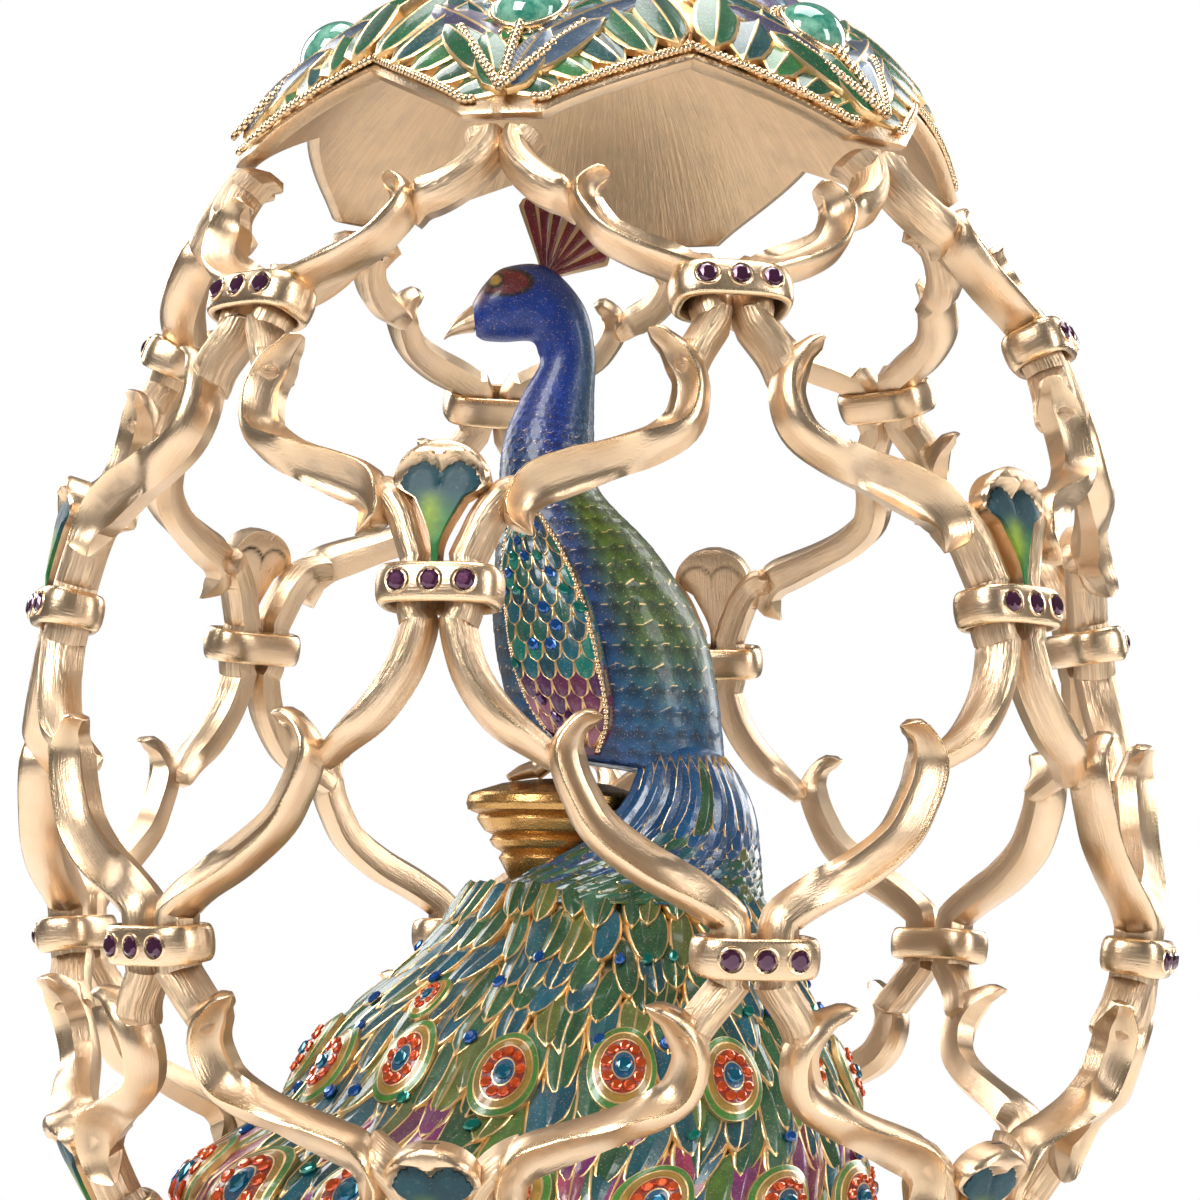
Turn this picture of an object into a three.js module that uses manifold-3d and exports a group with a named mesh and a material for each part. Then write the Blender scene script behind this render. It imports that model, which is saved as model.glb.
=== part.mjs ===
// An openwork jewelled egg on a low foot: waved gilt rods bound in pairs by bands, under an enamelled cap,
// with a peacock on a pedestal inside. Millimetres, +Z up, origin at the middle of the underside.
// Azimuth is in degrees from the front, which faces -Y, and grows towards +X.
import * as THREE from 'three';
import { mergeVertices } from 'three/addons/utils/BufferGeometryUtils.js';
import Module from 'manifold-3d';

const wasm = await Module();
wasm.setup();

// Space left between two pieces that touch, and how far a fused body may stray where its facets are merged
const GAP = 0.3;
const FACET_TOLERANCE = 0.12;

// The egg's skin, which the rods' outer faces follow: half an ellipse above its widest level and half below
const EGG_RADIUS = 65;
const UPPER_REACH = 104;
const LOWER_REACH = 69.5;
const WIDEST_LEVEL = 90;

// Rows where the rods meet in pairs, from the cap down to the collar, as shares of the reach above or below
const PAIRS = 6;
const FIRST_AZIMUTH = 15.3;
const ROWS_ABOVE = [0.7654, 0.5808, 0.2721];
const ROWS_BELOW = [0.1165, 0.5741, 0.8417];
const ROW_LEVELS = [
  ...ROWS_ABOVE.map((share) => share * UPPER_REACH), ...ROWS_BELOW.map((share) => -share * LOWER_REACH),
];

// Rods: width along the skin, depth through it, and how far a leaf tip lifts off the skin
const ROD_WIDTH = 4.4;
const ROD_DEPTH = 4.8;
const ROD_CREST_SHARE = 0.55;
const TIP_LIFT = 1.2;

// Bands round the pairs of rods
const BAND_HEIGHT = 4.1;
const BAND_SIDE_WALL = 1.25;
const BAND_FRONT_WALL = 0.8;
const BAND_CLEARANCE = 0.45;

// Palmettes above the bands of every second row
const PALMETTE_TOP = 14.6;
const PALMETTE_HALF_WIDTH = 5;
const PALMETTE_STEM_WIDTH = 0.7;
const PALMETTE_BACK = 1.6;
const ENAMEL_DEPTH = 0.7;

// Cap: a hollow dome with a hem of arches between the tips that stand on the rods
const CAP_WALL = 2.4;
const CAP_PROUD = 0.8;
const CAP_ARCH_LEVEL = 87;
const CAP_RIDGE = 0.9;
const CABOCHON_LEVEL = 91.4;
const CABOCHON_RADIUS = 4;
const CABOCHON_HEIGHT = 3.3;

// Finial on the cap
const FINIAL_RADIUS = 5.8;
const FINIAL_HEIGHT = 2.6;
const FINIAL_STONE_RADIUS = 4.4;
const FINIAL_STONE_HEIGHT = 3.4;

// Floor of the cage, collar and base
const FLOOR_LEVEL = -45;
const FLOOR_RADIUS = 39.5;
const FLOOR_RIM = 2.4;
const FLOOR_EDGE = 0.9;
const COLLAR_HEIGHT = 8.6;
const COLLAR_STEP = 1.3;
const BASE_RADIUS = 40;
const BASE_WAIST_RADIUS = 17;
const FOOT_THICKNESS = 3.2;

// Peacock and its pedestal. The figure's own places are hundredths of its height from floor to crest.
const PEACOCK_HEIGHT = 123.1;
const TRAIN_THICKNESS = 3;
const PEDESTAL_X = -4;
const PEDESTAL_TOP_RADIUS = 10.2;
const PEDESTAL_NECK_RADIUS = 5;
const PEDESTAL_FOOT_RADIUS = 8.5;

// Sides of the turned floor, collar and base
const ROUND_SIDES = 20;

const HALF_STEP = 180 / PAIRS;
const radians = THREE.MathUtils.degToRad;

// Bodies

// A BufferGeometry from points and triangles, turned the right way out if its volume comes out negative.
function closedBody(points, faces) {
  let volume = 0;
  const cross = new THREE.Vector3();
  for (let i = 0; i < faces.length; i += 3) {
    const [a, b, c] = [points[faces[i]], points[faces[i + 1]], points[faces[i + 2]]];
    volume += a.dot(cross.crossVectors(b, c));
  }
  const index = volume < 0 ? faces.slice().reverse() : faces;
  const geometry = new THREE.BufferGeometry().setFromPoints(points);
  geometry.setIndex(index);
  return geometry;
}

// The faces of a tube through rings that each hold the same number of points, both its ends left open.
function tubeFaces(ringCount, count) {
  const faces = [];
  for (let r = 0; r + 1 < ringCount; r++) {
    for (let i = 0; i < count; i++) {
      const near = r * count + i;
      const next = r * count + ((i + 1) % count);
      faces.push(near, next, next + count, near, next + count, near + count);
    }
  }
  return faces;
}

// A closed body through rings; both ends are flat and convex.
function loft(rings) {
  const count = rings[0].length;
  const faces = tubeFaces(rings.length, count);
  const last = (rings.length - 1) * count;
  for (let i = 1; i + 1 < count; i++) {
    faces.push(0, i + 1, i, last, last + i, last + i + 1);
  }
  return closedBody(rings.flat(), faces);
}

// The same body with every point moved by a function, and turned the right way out again.
function reshaped(geometry, move) {
  const merged = welded(geometry);
  const place = merged.getAttribute('position');
  const points = [];
  for (let i = 0; i < place.count; i++) {
    points.push(move(new THREE.Vector3().fromBufferAttribute(place, i)));
  }
  return closedBody(points, Array.from(merged.index.array));
}

// A copy with only positions, its shared points merged.
function welded(geometry) {
  const bare = new THREE.BufferGeometry();
  bare.setAttribute('position', geometry.getAttribute('position').clone());
  bare.setIndex(geometry.index);
  return mergeVertices(bare, 1e-4);
}

// Several closed bodies fused into one.
function fused(geometries) {
  const solids = geometries.map((geometry) => {
    const merged = welded(geometry);
    return new wasm.Manifold(new wasm.Mesh({
      numProp: 3,
      vertProperties: new Float32Array(merged.getAttribute('position').array),
      triVerts: new Uint32Array(merged.index.array),
    }));
  });
  const mesh = solids.reduce((whole, next) => whole.add(next)).simplify(FACET_TOLERANCE).getMesh();
  const result = new THREE.BufferGeometry();
  result.setAttribute('position', new THREE.BufferAttribute(new Float32Array(mesh.vertProperties), 3));
  result.setIndex(new THREE.BufferAttribute(new Uint32Array(mesh.triVerts), 1));
  return result;
}

// A turned body about +Z from [radius, height] pairs that start and end on the axis or close on themselves.
function turned(profile, segments) {
  const outline = profile.map(([radius, height]) => new THREE.Vector2(radius, height));
  return new THREE.LatheGeometry(outline, segments).rotateX(Math.PI / 2);
}

// The egg's skin

function skinRadius(level) {
  const reach = level > 0 ? UPPER_REACH : LOWER_REACH;
  return EGG_RADIUS * Math.sqrt(Math.max(0.001, 1 - (level / reach) ** 2));
}

// Outward normal of the skin in its meridian plane: how far it points outward and how far up.
function skinNormal(level) {
  const reach = level > 0 ? UPPER_REACH : LOWER_REACH;
  return new THREE.Vector2(skinRadius(level) / EGG_RADIUS ** 2, level / reach ** 2).normalize();
}

// The level reached from another by going a distance up the meridian.
function levelAfter(level, up) {
  const half = level + (up * skinNormal(level).x) / 2;
  return level + up * skinNormal(half).x;
}

// The point reached from the skin at azimuth 0 and a level by going sideways, up the meridian and outward.
function fromSkin(level, sideways, up, out) {
  const reached = levelAfter(level, up);
  const normal = skinNormal(reached);
  const radius = skinRadius(reached) + out * normal.x;
  return new THREE.Vector3(sideways, -radius, WIDEST_LEVEL + reached + out * normal.y);
}

// Rods

// Half the distance between the middles of two rods that stand side by side
const PAIR_OFFSET = (ROD_WIDTH + GAP) / 2;
const BAND_REACH = BAND_HEIGHT / 2 + 0.7;

// The route between two rows: share of the way round from one meridian to the next, and share of the drop
const ROUTE_FROM_PLAIN = [
  [0.15, 0.22], [0.185, 0.39], [0.33, 0.526], [0.62, 0.63], [0.785, 0.69], [0.875, 0.8],
];
const ROUTE_FROM_PALMETTE = [
  [0.107, 0.23], [0.24, 0.385], [0.415, 0.485], [0.525, 0.658], [0.77, 0.805],
];

// Leaf tips that branch off each route: their root on it and their end
const TIPS_FROM_PLAIN = [[[0.19, 0.3], [0.334, 0.158]], [[0.74, 0.665], [0.707, 0.836]]];
const TIPS_FROM_PALMETTE = [[[0.41, 0.485], [0.515, 0.352]]];
const TIP_SCALES = [0.9, 0.65];
const TIP_LIFTS = [0, TIP_LIFT];

// Rows 1, 3 and 5 hold plain bands, on the meridian at azimuth 0; rows 0, 2 and 4 half a step beside it.
function isPlain(row) {
  return row % 2 === 1;
}

// The share of a half step that a pair's rods stand off their meridian, so that their backs keep the gap.
function pairShare(level) {
  const backRadius = skinRadius(level) - ROD_DEPTH * skinNormal(level).x;
  return Math.asin(PAIR_OFFSET / backRadius) / radians(HALF_STEP);
}

// The skin at a share of the half step and a level, a depth below it, with the frame of the skin there.
function routePoint(share, level, depth) {
  const normal = skinNormal(level);
  const azimuth = radians(HALF_STEP * share);
  const [sin, cos] = [Math.sin(azimuth), -Math.cos(azimuth)];
  const radius = skinRadius(level) - depth * normal.x;
  return {
    point: new THREE.Vector3(radius * sin, radius * cos, WIDEST_LEVEL + level - depth * normal.y),
    out: new THREE.Vector3(normal.x * sin, normal.x * cos, normal.y),
    down: new THREE.Vector3(normal.y * sin, normal.y * cos, -normal.x),
  };
}

// The share and level of a place on the route between two rows.
function onRoute(row, [way, drop]) {
  const share = isPlain(row) ? way : 1 - way;
  return [share, THREE.MathUtils.lerp(ROW_LEVELS[row], ROW_LEVELS[row + 1], drop)];
}

// Stations of one rod, straight through each band and waved in between, and those of each leaf tip.
function rodStations() {
  const stations = [];
  const tips = [];
  ROW_LEVELS.forEach((rowLevel, row) => {
    const reaches = [BAND_REACH, -BAND_REACH];
    if (row === 0) reaches[0] = 0;
    if (row === ROW_LEVELS.length - 1) reaches[1] = 0;
    for (const reach of reaches) {
      const level = levelAfter(rowLevel, reach);
      const share = isPlain(row) ? pairShare(level) : 1 - pairShare(level);
      const station = routePoint(share, level, ROD_DEPTH / 2);
      stations.push({ ...station, along: station.down });
    }
    if (row === ROW_LEVELS.length - 1) return;
    for (const places of isPlain(row) ? TIPS_FROM_PLAIN : TIPS_FROM_PALMETTE) {
      tips.push(places.map((place, i) => ({
        ...routePoint(...onRoute(row, place), ROD_DEPTH / 2), scale: TIP_SCALES[i], lift: TIP_LIFTS[i],
      })));
    }
    for (const place of isPlain(row) ? ROUTE_FROM_PLAIN : ROUTE_FROM_PALMETTE) {
      stations.push(routePoint(...onRoute(row, place), ROD_DEPTH / 2));
    }
  });
  return { stations, tips };
}

// Sections in halves of the rod's width and depth: a rod is narrower outside, and a leaf tip has a ridge there.
const ROD_SECTION = [[-1, -1], [1, -1], [ROD_CREST_SHARE, 1], [-ROD_CREST_SHARE, 1]];
const TIP_SECTION = [[-1, -1], [1, -1], [0, 1]];

// A closed body swept through stations, each section square to the line between its neighbours.
function sweptBody(stations, section) {
  return loft(stations.map(({ point, out, along, scale = 1, lift = 0 }, i) => {
    const before = stations[Math.max(i - 1, 0)].point;
    const after = stations[Math.min(i + 1, stations.length - 1)].point;
    const side = new THREE.Vector3().crossVectors(out, along ?? after.clone().sub(before)).normalize();
    return section.map(([across, outward]) => point.clone()
      .addScaledVector(side, (across * scale * ROD_WIDTH) / 2)
      .addScaledVector(out, (outward * scale * ROD_DEPTH) / 2 + lift));
  }));
}

// One whole rod, right of the meridian at azimuth 0 and between it and the next.
function rodGeometry() {
  const { stations, tips } = rodStations();
  return fused([sweptBody(stations, ROD_SECTION), ...tips.map((tip) => sweptBody(tip, TIP_SECTION))]);
}

// Bands and palmettes, built on the meridian at azimuth 0

const BAND_HALF_WIDTH = PAIR_OFFSET + ROD_WIDTH / 2 + BAND_CLEARANCE + BAND_SIDE_WALL;
const BAND_HALF_DEPTH = ROD_DEPTH / 2 + BAND_CLEARANCE + BAND_FRONT_WALL;

// A flat shape from pairs of distances.
function shapeFrom(points) {
  return new THREE.Shape(points.map(([x, y]) => new THREE.Vector2(x, y)));
}

// Right half of an outline and its mirror image, as one loop.
function mirrored(half) {
  const other = half.filter(([x]) => x !== 0).reverse();
  return [...half, ...other.map(([x, y]) => [-x, y])];
}

// A closed ring with rounded corners round both rods, its hole straight-sided.
function bandBody(level) {
  const [width, depth] = [BAND_HALF_WIDTH, BAND_HALF_DEPTH];
  const outline = shapeFrom(mirrored([
    [width * 0.78, -depth], [width, -depth * 0.55], [width * 0.94, depth * 0.6], [width * 0.64, depth],
  ]));
  const holeBack = width - BAND_SIDE_WALL;
  const holeFront = PAIR_OFFSET + (ROD_WIDTH / 2) * ROD_CREST_SHARE + BAND_CLEARANCE;
  const holeDepth = depth - BAND_FRONT_WALL;
  outline.holes.push(shapeFrom([
    [-holeBack, -holeDepth], [-holeFront, holeDepth], [holeFront, holeDepth], [holeBack, -holeDepth],
  ]));
  const prism = new THREE.ExtrudeGeometry(outline, { depth: BAND_HEIGHT, bevelEnabled: false });
  return reshaped(prism, ({ x, y, z }) => fromSkin(level, x, z - BAND_HEIGHT / 2, y - ROD_DEPTH / 2));
}

// A flat outline, given as the way across and the way up, thickened from one depth to another.
function plateOnSkin(level, outline, back, front) {
  const options = { depth: front - back, bevelEnabled: false };
  const plate = new THREE.ExtrudeGeometry(shapeFrom(outline), options);
  return reshaped(plate, ({ x, y, z }) => fromSkin(level, x, y, z + back));
}

// A band cast with its palmette: a recessed field between the rods under an arched hood.
function palmetteBody(level) {
  const field = BAND_HALF_DEPTH - ROD_DEPTH / 2 - BAND_FRONT_WALL / 2;
  const [top, half] = [PALMETTE_TOP, PALMETTE_HALF_WIDTH];
  const fieldOutline = mirrored([
    [PALMETTE_STEM_WIDTH / 2, BAND_HEIGHT / 2 - 0.3], [half * 0.18, top * 0.4], [half * 0.8, top * 0.72],
    [half * 0.5, top * 0.92],
  ]);
  const hoodOutline = mirrored([
    [0, top * 0.8], [half * 0.88, top * 0.73], [half, top * 0.82], [half * 0.6, top * 0.96], [0, top],
  ]);
  return fused([
    bandBody(level),
    plateOnSkin(level, fieldOutline, -PALMETTE_BACK, field),
    plateOnSkin(level, hoodOutline, -PALMETTE_BACK * 0.9, field + ENAMEL_DEPTH),
  ]);
}

// Cap

// Angle about the meridian of a palmette row, as shares of a half step, at which the cap's surface is cut
const TIP_SHARE = 0.21;
const CAP_COLUMNS = [-TIP_SHARE, TIP_SHARE, 0.45, 0.72, 1, 1.28, 1.55];
const CAP_OUTER_RINGS = 3;
const CAP_INNER_RINGS = 2;

// How far a column is from its nearest tip, as a share of the half step.
function tipDistance(share) {
  return Math.abs(share) > 1 ? 2 - Math.abs(share) : Math.abs(share);
}

// The hem's level: flat over each tip, then rising to the arch between two tips.
function hemLevel(share) {
  const rise = Math.max(0, (tipDistance(share) - TIP_SHARE) / (1 - TIP_SHARE));
  const tip = levelAfter(ROW_LEVELS[0], GAP);
  return THREE.MathUtils.lerp(tip, CAP_ARCH_LEVEL, rise ** 0.8);
}

// A ring of the cap at a share of the way from hem to top, a distance out from the skin.
function capRing(way, out, ridge) {
  const ring = [];
  for (let pair = 0; pair < PAIRS; pair++) {
    for (const share of CAP_COLUMNS) {
      const hem = Math.asin(hemLevel(share) / UPPER_REACH);
      const level = UPPER_REACH * Math.sin(THREE.MathUtils.lerp(hem, Math.PI / 2, way));
      const normal = skinNormal(level);
      const distance = tipDistance(share);
      const raised = distance > TIP_SHARE && distance < 0.9 ? ridge : 0;
      const radius = skinRadius(level) + (out + raised) * normal.x;
      const azimuth = radians(HALF_STEP * (2 * pair + share));
      ring.push(new THREE.Vector3(
        radius * Math.sin(azimuth), -radius * Math.cos(azimuth),
        WIDEST_LEVEL + level + (out + raised) * normal.y));
    }
  }
  return ring;
}

// The hollow dome, built with a tip at azimuth 0.
function capGeometry() {
  const rings = [];
  for (let i = CAP_INNER_RINGS; i >= 0; i--) {
    rings.push(capRing((i / CAP_INNER_RINGS) * 0.8, CAP_PROUD - CAP_WALL, 0));
  }
  for (let i = 0; i <= CAP_OUTER_RINGS; i++) {
    const way = (i / CAP_OUTER_RINGS) * 0.84;
    rings.push(capRing(way, CAP_PROUD, i < CAP_OUTER_RINGS ? CAP_RIDGE : 0));
  }
  const points = rings.flat();
  const count = rings[0].length;
  const faces = tubeFaces(rings.length, count);
  const inside = points.push(new THREE.Vector3(0, 0, WIDEST_LEVEL + UPPER_REACH + CAP_PROUD - CAP_WALL)) - 1;
  const outside = points.push(new THREE.Vector3(0, 0, WIDEST_LEVEL + UPPER_REACH + CAP_PROUD)) - 1;
  const last = (rings.length - 1) * count;
  for (let i = 0; i < count; i++) {
    const next = (i + 1) % count;
    faces.push(inside, next, i, outside, last + i, last + next);
  }
  return closedBody(points, faces);
}

// A domed stone with a flat back.
function stoneGeometry(radius, height, segments) {
  return turned([
    [0, 0], [radius, 0], [radius * 0.87, height * 0.57], [radius * 0.4, height * 0.93], [0, height],
  ], segments);
}

// The finial's collar, which holds its stone.
function finialGeometry() {
  const [radius, height] = [FINIAL_RADIUS, FINIAL_HEIGHT];
  return turned([
    [0, 0], [radius * 0.9, 0], [radius, height * 0.3], [radius * 0.8, height * 0.68], [radius * 0.86, height],
    [0, height],
  ], 10);
}

// Floor, collar and base

const FLOOR_TOP = WIDEST_LEVEL + FLOOR_LEVEL;
const COLLAR_ROW = ROW_LEVELS[ROW_LEVELS.length - 1];

// The collar's face stands square to the rods' ends; these are its middle and the way along it.
function collarFace() {
  const middle = routePoint(0, COLLAR_ROW, ROD_DEPTH / 2);
  const end = middle.point.clone().addScaledVector(middle.down, GAP);
  return { radius: Math.hypot(end.x, end.y), height: end.z, slope: skinNormal(COLLAR_ROW) };
}

// The radius and height of the collar's outer and inner upper edges and of its underside.
function collarEdges() {
  const { radius, height, slope } = collarFace();
  const reach = ROD_DEPTH * 0.72;
  const inner = height - reach * slope.y;
  return {
    outer: [radius + reach * slope.x, height + reach * slope.y],
    inner: [radius - reach * slope.x, inner],
    under: [radius - 1, inner - COLLAR_HEIGHT],
  };
}

function collarProfile() {
  const { outer, inner, under } = collarEdges();
  return [[0, under[1]], under, [outer[0], under[1] + COLLAR_STEP], outer, inner, [0, inner[1]]];
}

// The floor: flat on top, tapering underneath to the collar that carries it.
function floorProfile() {
  const [seat, collarTop] = collarEdges().inner;
  const under = collarTop + GAP;
  return [
    [0, under], [seat - FLOOR_RIM, under], [FLOOR_RADIUS, FLOOR_TOP - FLOOR_RIM],
    [FLOOR_RADIUS, FLOOR_TOP - FLOOR_EDGE], [FLOOR_RADIUS - FLOOR_EDGE, FLOOR_TOP], [0, FLOOR_TOP],
  ];
}

// The base: a spreading foot, a hollow-sided waist and a bell that carries the collar.
function baseProfile() {
  const [bell, collarUnder] = collarEdges().under;
  const top = collarUnder - GAP;
  const waist = (top + FOOT_THICKNESS) / 2;
  return [
    [0, 0], [BASE_RADIUS, 0], [BASE_RADIUS, FOOT_THICKNESS],
    [BASE_RADIUS * 0.86, FOOT_THICKNESS * 1.4], [BASE_RADIUS * 0.78, FOOT_THICKNESS * 2.1],
    [BASE_WAIST_RADIUS * 1.15, waist - FOOT_THICKNESS / 2],
    [BASE_WAIST_RADIUS * 1.05, waist + FOOT_THICKNESS], [bell * 0.92, top - 2 * COLLAR_STEP],
    [bell, top - COLLAR_STEP], [bell, top], [0, top],
  ];
}

// Peacock and pedestal

const HUNDREDTH = PEACOCK_HEIGHT / 100;

// A place in the figure's own hundredths, measured from the middle of the floor.
function figurePoint(x, y, z) {
  return new THREE.Vector3(x, y, z).multiplyScalar(HUNDREDTH).add(new THREE.Vector3(0, 0, FLOOR_TOP));
}

// The body from face to tail root: a place on its back and one on its breast in x and z, and half its breadth
const BODY_STATIONS = [
  [-11.9, 89.6, -11.5, 86.5, 1.4], [-10.8, 91.4, -10.7, 86.1, 2.4], [-8.9, 93, -8.9, 86, 2.9],
  [-5, 93.1, -6.4, 86.1, 2.8], [-1.6, 89.7, -5.7, 85, 2.6], [-0.4, 85.4, -5.6, 83.8, 2.5],
  [-0.4, 80.6, -7.1, 81, 3.2], [-0.3, 75.9, -8.7, 76.8, 4.5], [0.3, 72.1, -9.1, 72.4, 5.7],
  [5.6, 66.5, -9.3, 64.7, 8.1], [10, 59.5, -9.3, 59, 8.9], [11.6, 52.9, -8, 52.9, 8.6],
  [12.4, 46.3, -5.5, 47.6, 7.3], [13.3, 42.6, 6.2, 45.9, 5.7], [14.6, 32.2, 6.8, 32.7, 4.9],
];
const BODY_SIDES = 8;

function bodyBody() {
  return loft(BODY_STATIONS.map(([backX, backZ, breastX, breastZ, broad]) => {
    const back = figurePoint(backX, 0, backZ);
    const breast = figurePoint(breastX, 0, breastZ);
    const middle = back.clone().add(breast).divideScalar(2);
    const across = back.clone().sub(breast).divideScalar(2);
    return Array.from({ length: BODY_SIDES }, (_, side) => {
      const angle = (2 * Math.PI * side) / BODY_SIDES;
      return middle.clone()
        .addScaledVector(across, Math.cos(angle))
        .add(new THREE.Vector3(0, broad * HUNDREDTH * Math.sin(angle), 0));
    });
  }));
}

// A tapering limb or beak between two places, with its radius at each.
function taper(from, to, fromRadius, toRadius, sides) {
  const along = to.clone().sub(from).normalize();
  const across = new THREE.Vector3(0, 1, 0).cross(along).normalize();
  const beside = new THREE.Vector3().crossVectors(along, across);
  const ring = (middle, radius) => Array.from({ length: sides }, (_, side) => {
    const angle = (2 * Math.PI * side) / sides;
    return middle.clone()
      .addScaledVector(across, radius * HUNDREDTH * Math.cos(angle))
      .addScaledVector(beside, radius * HUNDREDTH * Math.sin(angle));
  });
  return loft([ring(from, fromRadius), ring(to, toRadius)]);
}

// The crest: a fan of feathers, drawn in x and z.
const CREST = [
  [-7.1, 90.5], [-6.6, 94.5], [-7.1, 99.3], [-5.4, 100], [-3.6, 100], [-1.5, 99.2], [0.5, 97], [0.7, 94.2],
  [-2, 93.6], [-3.6, 91],
];
const CREST_THICKNESS = 1.2;

function crestBody() {
  const plate = new THREE.ExtrudeGeometry(shapeFrom(CREST), { depth: CREST_THICKNESS, bevelEnabled: false });
  return reshaped(plate, ({ x, y, z }) => figurePoint(x, z - CREST_THICKNESS / 2, y));
}

// A folded wing laid on the flank: the body's middle in x, height, distance out and half its width
const WING_AZIMUTHS = [-28, 152];
const WING_THICKNESS = 1.1;
const WING_ROOT = 2;
const WING_STATIONS = [
  [-3.6, 70, 6, 1], [-1.9, 65.6, 7.9, 3.2], [-0.2, 60.5, 8.9, 4.3], [1.1, 55, 9.1, 4.5],
  [2.3, 50.5, 8.5, 3.6], [3.2, 47, 7.8, 1],
];

function wingBody(azimuth) {
  const [sin, cos] = [Math.sin(radians(azimuth)), -Math.cos(radians(azimuth))];
  const section = [[1, 0], [0.5, WING_THICKNESS], [-0.5, WING_THICKNESS], [-1, 0], [0, -WING_ROOT]];
  return loft(WING_STATIONS.map(([x, z, out, half]) => section.map(([side, raised]) => figurePoint(
    x + (out + raised) * sin - side * half * cos, (out + raised) * cos + side * half * sin, z))));
}

// The train: a draped sheet open at the back, as height, its left and right edge in x and its reach to the
// front. What goes sideways is in hundredths of the egg's radius, because the cage is what holds it in.
const TRAIN_STATIONS = [
  [35.6, -19.9, 27.8, 17], [29.5, -26.9, 33.7, 24.6], [22, -41.7, 40.7, 34.1], [14.8, -51.5, 45.8, 42.2],
  [7, -68.9, 47.7, 51.1], [0, -58.7, 48.5, 54],
];
const TRAIN_SWEEP = [-118, 122];
const TRAIN_COLUMNS = 10;

function trainRing([height, ...edges], inset) {
  const [left, right, front] = edges.map((edge) => (edge / 100) * EGG_RADIUS);
  const middle = (left + right) / 2;
  const half = (right - left) / 2 - inset;
  const z = FLOOR_TOP + Math.max(height * HUNDREDTH, GAP);
  return Array.from({ length: TRAIN_COLUMNS + 1 }, (_, i) => {
    const angle = radians(THREE.MathUtils.lerp(...TRAIN_SWEEP, i / TRAIN_COLUMNS));
    return new THREE.Vector3(middle + half * Math.sin(angle), (inset - front) * Math.cos(angle), z);
  });
}

function trainBody() {
  const rings = TRAIN_STATIONS.map((station) => [
    ...trainRing(station, 0), ...trainRing(station, TRAIN_THICKNESS).reverse(),
  ]);
  const count = rings[0].length;
  const faces = tubeFaces(rings.length, count);
  const last = (rings.length - 1) * count;
  for (let i = 0; i < TRAIN_COLUMNS; i++) {
    const mate = count - 1 - i;
    faces.push(i, mate, mate - 1, i, mate - 1, i + 1);
    faces.push(last + i, last + mate - 1, last + mate, last + i, last + i + 1, last + mate - 1);
  }
  return closedBody(rings.flat(), faces);
}

// Beak and legs: the place each starts from and ends at in x and z, with its half thickness there
const BEAK = { from: [-11.8, 88.2, 1.2], to: [-14.3, 86.7, 0.25], sides: 6 };
const LEG = { from: [0, 50, 1], to: [-5.4, 45.9, 0.8], sides: 5 };
const LEG_BREADTH = 4;

function limb({ from, to, sides }, breadth) {
  const [start, end] = [from, to].map(([x, z]) => figurePoint(x, breadth, z));
  return taper(start, end, from[2], to[2], sides);
}

function peacockGeometry() {
  const legs = [-1, 1].map((side) => limb(LEG, side * LEG_BREADTH));
  const wings = WING_AZIMUTHS.map(wingBody);
  return fused([bodyBody(), limb(BEAK, 0), crestBody(), ...wings, trainBody(), ...legs]);
}

// The pedestal: a moulded capital on a column, its top rising to the peacock's feet.
function pedestalProfile() {
  const [cornice, neck, foot] = [PEDESTAL_TOP_RADIUS, PEDESTAL_NECK_RADIUS, PEDESTAL_FOOT_RADIUS];
  const under = FLOOR_TOP + GAP;
  const level = (hundredths) => FLOOR_TOP + hundredths * HUNDREDTH;
  return [
    [0, under], [foot, under], [foot, under + 2], [neck * 1.1, under + 5], [neck, level(30)],
    [neck * 1.02, level(36.5)], [neck * 1.45, level(39.3)], [cornice * 0.83, level(41.3)],
    [cornice, level(43)], [cornice * 0.96, level(44)], [cornice * 0.2, level(45.4)], [0, level(45.4)],
  ];
}

// Finishes
const gilt = new THREE.MeshStandardMaterial({ color: 0xcda56c, roughness: 0.36, metalness: 1 });
const feathers = new THREE.MeshStandardMaterial({ color: 0x2f6f55, roughness: 0.3, metalness: 0.2 });
const plumage = new THREE.MeshStandardMaterial({ color: 0x1f5f74, roughness: 0.3, metalness: 0.2 });
const jade = new THREE.MeshStandardMaterial({ color: 0x3b9d7d, roughness: 0.12, metalness: 0 });
const amber = new THREE.MeshStandardMaterial({ color: 0xb58148, roughness: 0.35, metalness: 0.8 });
const ground = new THREE.MeshStandardMaterial({ color: 0x3d6b45, roughness: 0.35, metalness: 0.1 });

const egg = new THREE.Group();

function named(name, geometry, material, parent = egg) {
  const mesh = new THREE.Mesh(geometry, material);
  mesh.name = name;
  parent.add(mesh);
  return mesh;
}

// Each pair of rods has two meridians: its plain bands stand on one, its palmettes and cabochon beside it.
const rightRod = rodGeometry();
const leftRod = reshaped(rightRod, ({ x, y, z }) => new THREE.Vector3(-x, y, z));
const upperBand = bandBody(ROW_LEVELS[1]);
const upperPalmette = palmetteBody(ROW_LEVELS[2]);
const middleBand = bandBody(ROW_LEVELS[3]);
const lowerPalmette = palmetteBody(ROW_LEVELS[4]);
const cabochon = stoneGeometry(CABOCHON_RADIUS, CABOCHON_HEIGHT, 8);
const cabochonSeat = fromSkin(CABOCHON_LEVEL, 0, 0, CAP_PROUD + GAP);
const seatNormal = skinNormal(CABOCHON_LEVEL);

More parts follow.
